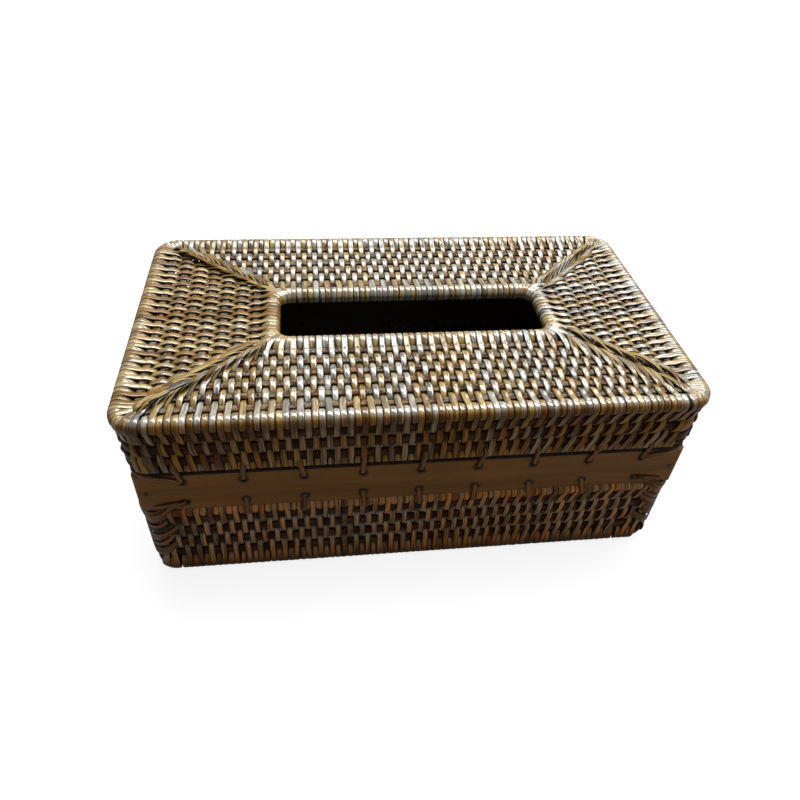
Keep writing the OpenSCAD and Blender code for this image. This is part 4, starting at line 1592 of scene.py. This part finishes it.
@dataclass
class WeaveRods(CaneWork):
    """The flat oval rods that the strips pass over and under, a little uneven as split cane is.

    Attributes:
        rod_w, ring_w: the width of a rod in the top and of one in the sides.
        rod_t: their thickness.
        end_room: how far a top rod's ends stay from the mitres.
        drop: how much lower than the solid's middle a top rod lies.
        wave, ring_wave: the size of a rod's wave in the top and in the sides.
        waves, ring_waves: the spans of its length, for a turn of one radian.
        places: the number of places that a top rod is drawn through.
        step, ring_step: the distance between the places of a finished top rod, and on the
            straight parts of one in the sides.
        bend_places: the number of places on half an upright corner, with both its ends.
        seed: what the random numbers start from.
    """

    rod_w: float = 4.2
    ring_w: float = 5.4
    rod_t: float = 1.15
    end_room: float = 1.2
    drop: float = 0.08
    wave: float = 0.16
    waves: Span = (7.0, 12.0)
    ring_wave: float = 0.12
    ring_waves: Span = (6.0, 10.0)
    places: int = 60
    step: float = 2.2
    ring_step: float = 1.6
    bend_places: int = 7
    seed: int = 51

    def across_panel(self, side: Side, u: float, rng: Rng) -> Strip:
        """Makes one rod of a top panel, from mitre to mitre.

        Args:
            side: the panel's side.
            u: the distance out.
            rng: the piece's own random numbers.

        Returns:
            The rod.
        """
        sizes = self.sizes
        share = (u - sizes.slot_out(side)) / (sizes.half_out(side) - sizes.slot_out(side))
        ends = ((sizes.slot_end(side, way), way * sizes.half_along(side)) for way in (-1, 1))
        low, high = (slot + (corner - slot) * share for slot, corner in ends)
        p = np.linspace(low + self.end_room, high - self.end_room, self.places)
        wave = self.wave * np.sin(p / rng.uniform(*self.waves) + rng.uniform(0, FULL_TURN))
        points = side.world(p, u + wave, np.full(len(p), sizes.top_z - self.drop))
        return drawn(points, np.tile([0.0, 0.0, 1.0], (len(p), 1)), self.step, rng.uniform(0, 1))

    def ring(self, inset: float, z: float, rng: Rng) -> Strip:
        """Makes one rod round the side.

        Args:
            inset: how far its middle is inside the outline.
            z: its height.
            rng: the piece's own random numbers.

        Returns:
            The closed rod.
        """
        points, outward = [], []
        for side in (Side.FRONT, Side.RIGHT, Side.BACK, Side.LEFT):
            flat, arc = self.sizes.flat(side), self.sizes.arc
            q = np.concatenate([np.linspace(-flat - arc, -flat, self.bend_places)[:-1],
                                np.linspace(-flat, flat, int(flat / self.ring_step)),
                                np.linspace(flat, flat + arc, self.bend_places)[1:-1]])
            p, u, turn = self.sizes.around(side, q, np.full(len(q), inset))
            wave = self.ring_wave * np.sin(q / rng.uniform(*self.ring_waves)) * smooth(flat - np.abs(q), 0.0, 10.0)
            points.append(side.world(p, u, z + wave))
            outward.append(side.world(np.sin(turn), np.cos(turn), np.zeros(len(q))))
        points, outward = np.concatenate(points), np.concatenate(outward)
        ahead = unit(np.roll(points, -1, axis=0) - np.roll(points, 1, axis=0))
        return Strip(points, np.cross(outward, ahead), np.ones(len(points)), np.zeros(len(points)), 0.5, True)

    def build(self) -> None:
        """Makes the rods of the top panels and of both sides."""
        sizes = self.sizes
        rng = np.random.default_rng(self.seed)
        for side in Side:
            rods = [self.across_panel(side, u, rng) for u in sizes.rods(side)]
            self.dress(side.title + "_panel_rods", rods, self.rod_w, self.rod_t, side.title + "_rods")
        for number, z in enumerate(sizes.side_z, 1):
            ring = [self.ring(sizes.side_in, z, rng)]
            self.dress(f"upper_side_rod_{number}", ring, self.ring_w, self.rod_t, f"upper_side_ring_{number}")
        rings = [self.ring(sizes.low_in, z, rng) for z in sizes.low_z]
        self.dress("lower_side_rods", rings, self.ring_w, self.rod_t, "lower_side_rings")


# ---------------------------------------------------------------- solids that stay


@dataclass
class Solids:
    """The round rods, the boards and the brads, whose solids stay and get their finishes.

    Attributes:
        sizes: the cover's sizes.
        rod: the finish of the round rods.
        round_rods: their nodes.
        inside_shade_reaches: how far from the middle the painted shade on the inside of the long boards and of the
        short ones ends, a little into the wood.
    """

    sizes: CoverSizes
    rod: Material
    round_rods: tuple[str, ...] = ("rim_ring", "edge_ring", "upper_border_ring", "lower_border_ring", "base_ring")
    inside_shade_reaches: Span = (63.2, 117.6)

    def wear(self, name: str, finish: Material) -> None:
        """Puts a finish on a node through its object's slots.

        Args:
            name: the node.
            finish: its material.
        """
        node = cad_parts[name]
        if not node.material_slots:
            node.data.materials.append(None)
        for place in node.material_slots:
            place.link = "OBJECT"
            place.material = finish
        LOG.info("%s: finish %s", name, finish.name)

    def build(self) -> None:
        """Dresses every solid that shows."""
        for name in self.round_rods:
            self.wear(name, self.rod)
        # The seat rod is near black: its dark stain and a painted shade for the gap under the upper weave.
        self.wear("seat_ring", RodFinish("seat_rod", (0.007, 0.005, 0.004), (0.02, 0.015, 0.011), 0.6).make())
        lengthways = WoodFinish("band_wood_long", self.sizes, True, self.inside_shade_reaches[0]).make()
        crossways = WoodFinish("band_wood_short", self.sizes, False, self.inside_shade_reaches[1]).make()
        for side in Side:
            self.wear(side.title + "_board", lengthways if side.long else crossways)
        self.wear("corner_brads", BradFinish("brad_metal").make())


# ---------------------------------------------------------------- studio


@dataclass
class Studio:
    """The floor, the lights, the world and the camera.

    Attributes:
        eye: where the camera stands, in millimetres.
        yaw, pitch, roll: the way it looks, in radians.
        focal: its focal length, in pixels of an image as wide as picture.
        picture: the width of that image.
        sensor: the camera's sensor width.
        inside: where the floor goes dark under the cover, out along X and along Y, in metres.
        paleness, glow: the floor's own grey, and the light that makes it show near white.
        floor_shine, world_shine: the shares of the floor's and the world's white that glossy
            faces show.
        zenith: the way that the world is brightest.
        sky: how bright it is away from there and near there.
    """

    eye: Three = (-45.90, -272.79, 286.95)
    yaw: float = 0.1667
    pitch: float = 0.7285
    roll: float = 0.0708
    focal: float = 668.04
    picture: float = 800.0
    sensor: float = 36.0
    inside: tuple[Span, Span] = ((0.121, 0.123), (0.066, 0.068))
    paleness: float = 0.22
    glow: float = 0.84
    floor_shine: float = 0.2
    world_shine: float = 0.3
    zenith: Three = (0.3, 0.6, 0.74)
    sky: Span = (0.135, 0.65)

    def camera(self) -> None:
        """Makes the camera of the photograph."""
        level = math.cos(self.pitch)
        ahead = Vector((math.sin(self.yaw) * level, math.cos(self.yaw) * level, -math.sin(self.pitch)))
        right = Vector((math.cos(self.yaw), -math.sin(self.yaw), 0.0))
        up = right.cross(ahead)
        cos, sin = math.cos(self.roll), math.sin(self.roll)
        right, up = cos * right + sin * up, -sin * right + cos * up
        lens = bpy.data.cameras.new("camera")
        lens.sensor_width, lens.lens = self.sensor, self.focal / self.picture * self.sensor
        lens.clip_start, lens.clip_end = 0.01, 20.0
        camera = bpy.data.objects.new("camera", lens)
        turn = Matrix((right, up, -ahead)).transposed().to_4x4()
        camera.matrix_world = Matrix.Translation(Vector(self.eye) * MM) @ turn
        bpy.context.scene.collection.objects.link(camera)
        bpy.context.scene.camera = camera

    def floor(self, reach: float = 8.0) -> None:
        """Makes the pale floor, which shows near white and keeps the cover's soft shadow.

        Args:
            reach: how far it goes each way, in metres.
        """
        mesh = bpy.data.meshes.new("floor")
        corners = [(x * reach, y * reach, 0) for x, y in ((-1, -1), (1, -1), (1, 1), (-1, 1))]
        mesh.from_pydata(corners, [], [(0, 1, 2, 3)])
        floor = bpy.data.objects.new("floor", mesh)
        bpy.context.scene.collection.objects.link(floor)
        material = bpy.data.materials.new("floor")
        material.use_nodes = True
        sheet = NodeSheet(material.node_tree)
        place = sheet.place()
        sheet.shade({"Base Color": (self.paleness, self.paleness, self.paleness, 1),
                     "Roughness": sheet.ramp(sheet.noise(place, 300.0), 0.3, 0.7, 0.85, 0.95)})
        bare = material.node_tree.nodes["Principled BSDF"].outputs[0]
        strength = sheet.times(sheet.beyond(place, *self.inside), self.glow)
        glow = sheet.add("ShaderNodeEmission", {"Color": (1, 1, 1, 1), "Strength": strength})
        both = sheet.add("ShaderNodeAddShader", {0: bare, 1: glow.outputs[0]})
        mixed = sheet.add("ShaderNodeMixShader", {0: sheet.seen(self.floor_shine), 1: bare, 2: both.outputs[0]})
        end = next(node for node in material.node_tree.nodes if node.type == "OUTPUT_MATERIAL")
        sheet.fill(end, {0: mixed.outputs[0]})
        mesh.materials.append(material)
        floor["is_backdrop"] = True

    def world(self) -> None:
        """Makes a world that shows white and lights softly, more from above and behind."""
        world = bpy.data.worlds.new("studio")
        world.use_nodes = True
        sheet = NodeSheet(world.node_tree)
        way = sheet.add("ShaderNodeTexCoord").outputs["Generated"]
        aim = sheet.add("ShaderNodeVectorMath", {0: way, 1: self.zenith}, operation="DOT_PRODUCT")
        sky = sheet.ramp(aim.outputs["Value"], 0.0, 0.95, *self.sky)
        bright = sheet.math("ADD", sheet.times(sheet.seen(self.world_shine), sheet.math("SUBTRACT", 1.0, sky)), sky)
        sheet.fill(world.node_tree.nodes["Background"], {0: (1, 1, 1, 1), 1: bright})
        bpy.context.scene.world = world

    def lamp(self, name: str, spot: Three, size: Span, power: float) -> None:
        """Adds a flat soft white lamp that looks at the cover.

        Args:
            name: its name.
            spot: where it stands, in metres.
            size: its width and height, in metres.
            power: in watts.
        """
        light = bpy.data.lights.new(name, "AREA")
        light.shape, light.size, light.size_y = "RECTANGLE", size[0], size[1]
        light.energy, light.color = power, (1, 1, 1)
        lamp = bpy.data.objects.new(name, light)
        aim = Vector((0, 0, 0.05)) - Vector(spot)
        lamp.matrix_world = Matrix.Translation(spot) @ aim.to_track_quat("-Z", "Y").to_matrix().to_4x4()
        bpy.context.scene.collection.objects.link(lamp)

    def build(self) -> None:
        """Sets the whole studio."""
        self.camera()
        self.floor()
        self.world()
        self.lamp("window", (0.22, 0.38, 1.25), (1.45, 0.75), 27.0)
        self.lamp("door", (0.72, 1.1, 0.92), (0.55, 0.5), 4.0)
        bpy.context.scene.view_settings.view_transform = "Standard"


# ---------------------------------------------------------------- main


def corners() -> list[list[float]]:
    """The shown object's box as plain lists of numbers."""
    return [[float(v) for v in corner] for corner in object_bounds()]


def main() -> None:
    """Builds every piece in order."""
    logging.basicConfig(level=logging.INFO, format="%(name)s: %(message)s")
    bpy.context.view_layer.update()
    Studio().build()
    sizes, sweep = CoverSizes(), StripSweep()
    upper = CaneFinish("upper_cane", honey=(0.385, 0.262, 0.072), grey=(0.38, 0.365, 0.3),
                       stain_and_shade=(0.02, 0.011, 0.004), dusk=(0.15, 0.14, 0.11), roughness=0.26, coat=1.0, painted_side_shade=0.4)
    lower = CaneFinish("lower_cane", honey=(0.57, 0.33, 0.125), grey=(0.46, 0.335, 0.2),
                       stain_and_shade=(0.012, 0.006, 0.003), dusk=(0.2, 0.13, 0.08), roughness=0.34, coat=0.4)
    stitch = CaneFinish("stitch_cane", honey=(0.26, 0.16, 0.08), grey=(0.2, 0.14, 0.085),
                        stain_and_shade=(0.014, 0.008, 0.005), dusk=(0.07, 0.05, 0.035), roughness=0.4, coat=0.2)
    rod = RodFinish("weave_rod", dark=(0.02, 0.005, 0.0015), worn=(0.11, 0.044, 0.016), roughness=0.48).make()
    UpperWeave(sizes, sweep, upper.make(), "upper_cane").build()
    LowerWeave(sizes, sweep, lower.make(), "lower_cane").build()
    Stitching(sizes, sweep, stitch.make(), "stitch_cane").build()
    WeaveRods(sizes, sweep, rod, "weave_rod").build()
    Solids(sizes, rod).build()


if __name__ == "__main__":
    main()
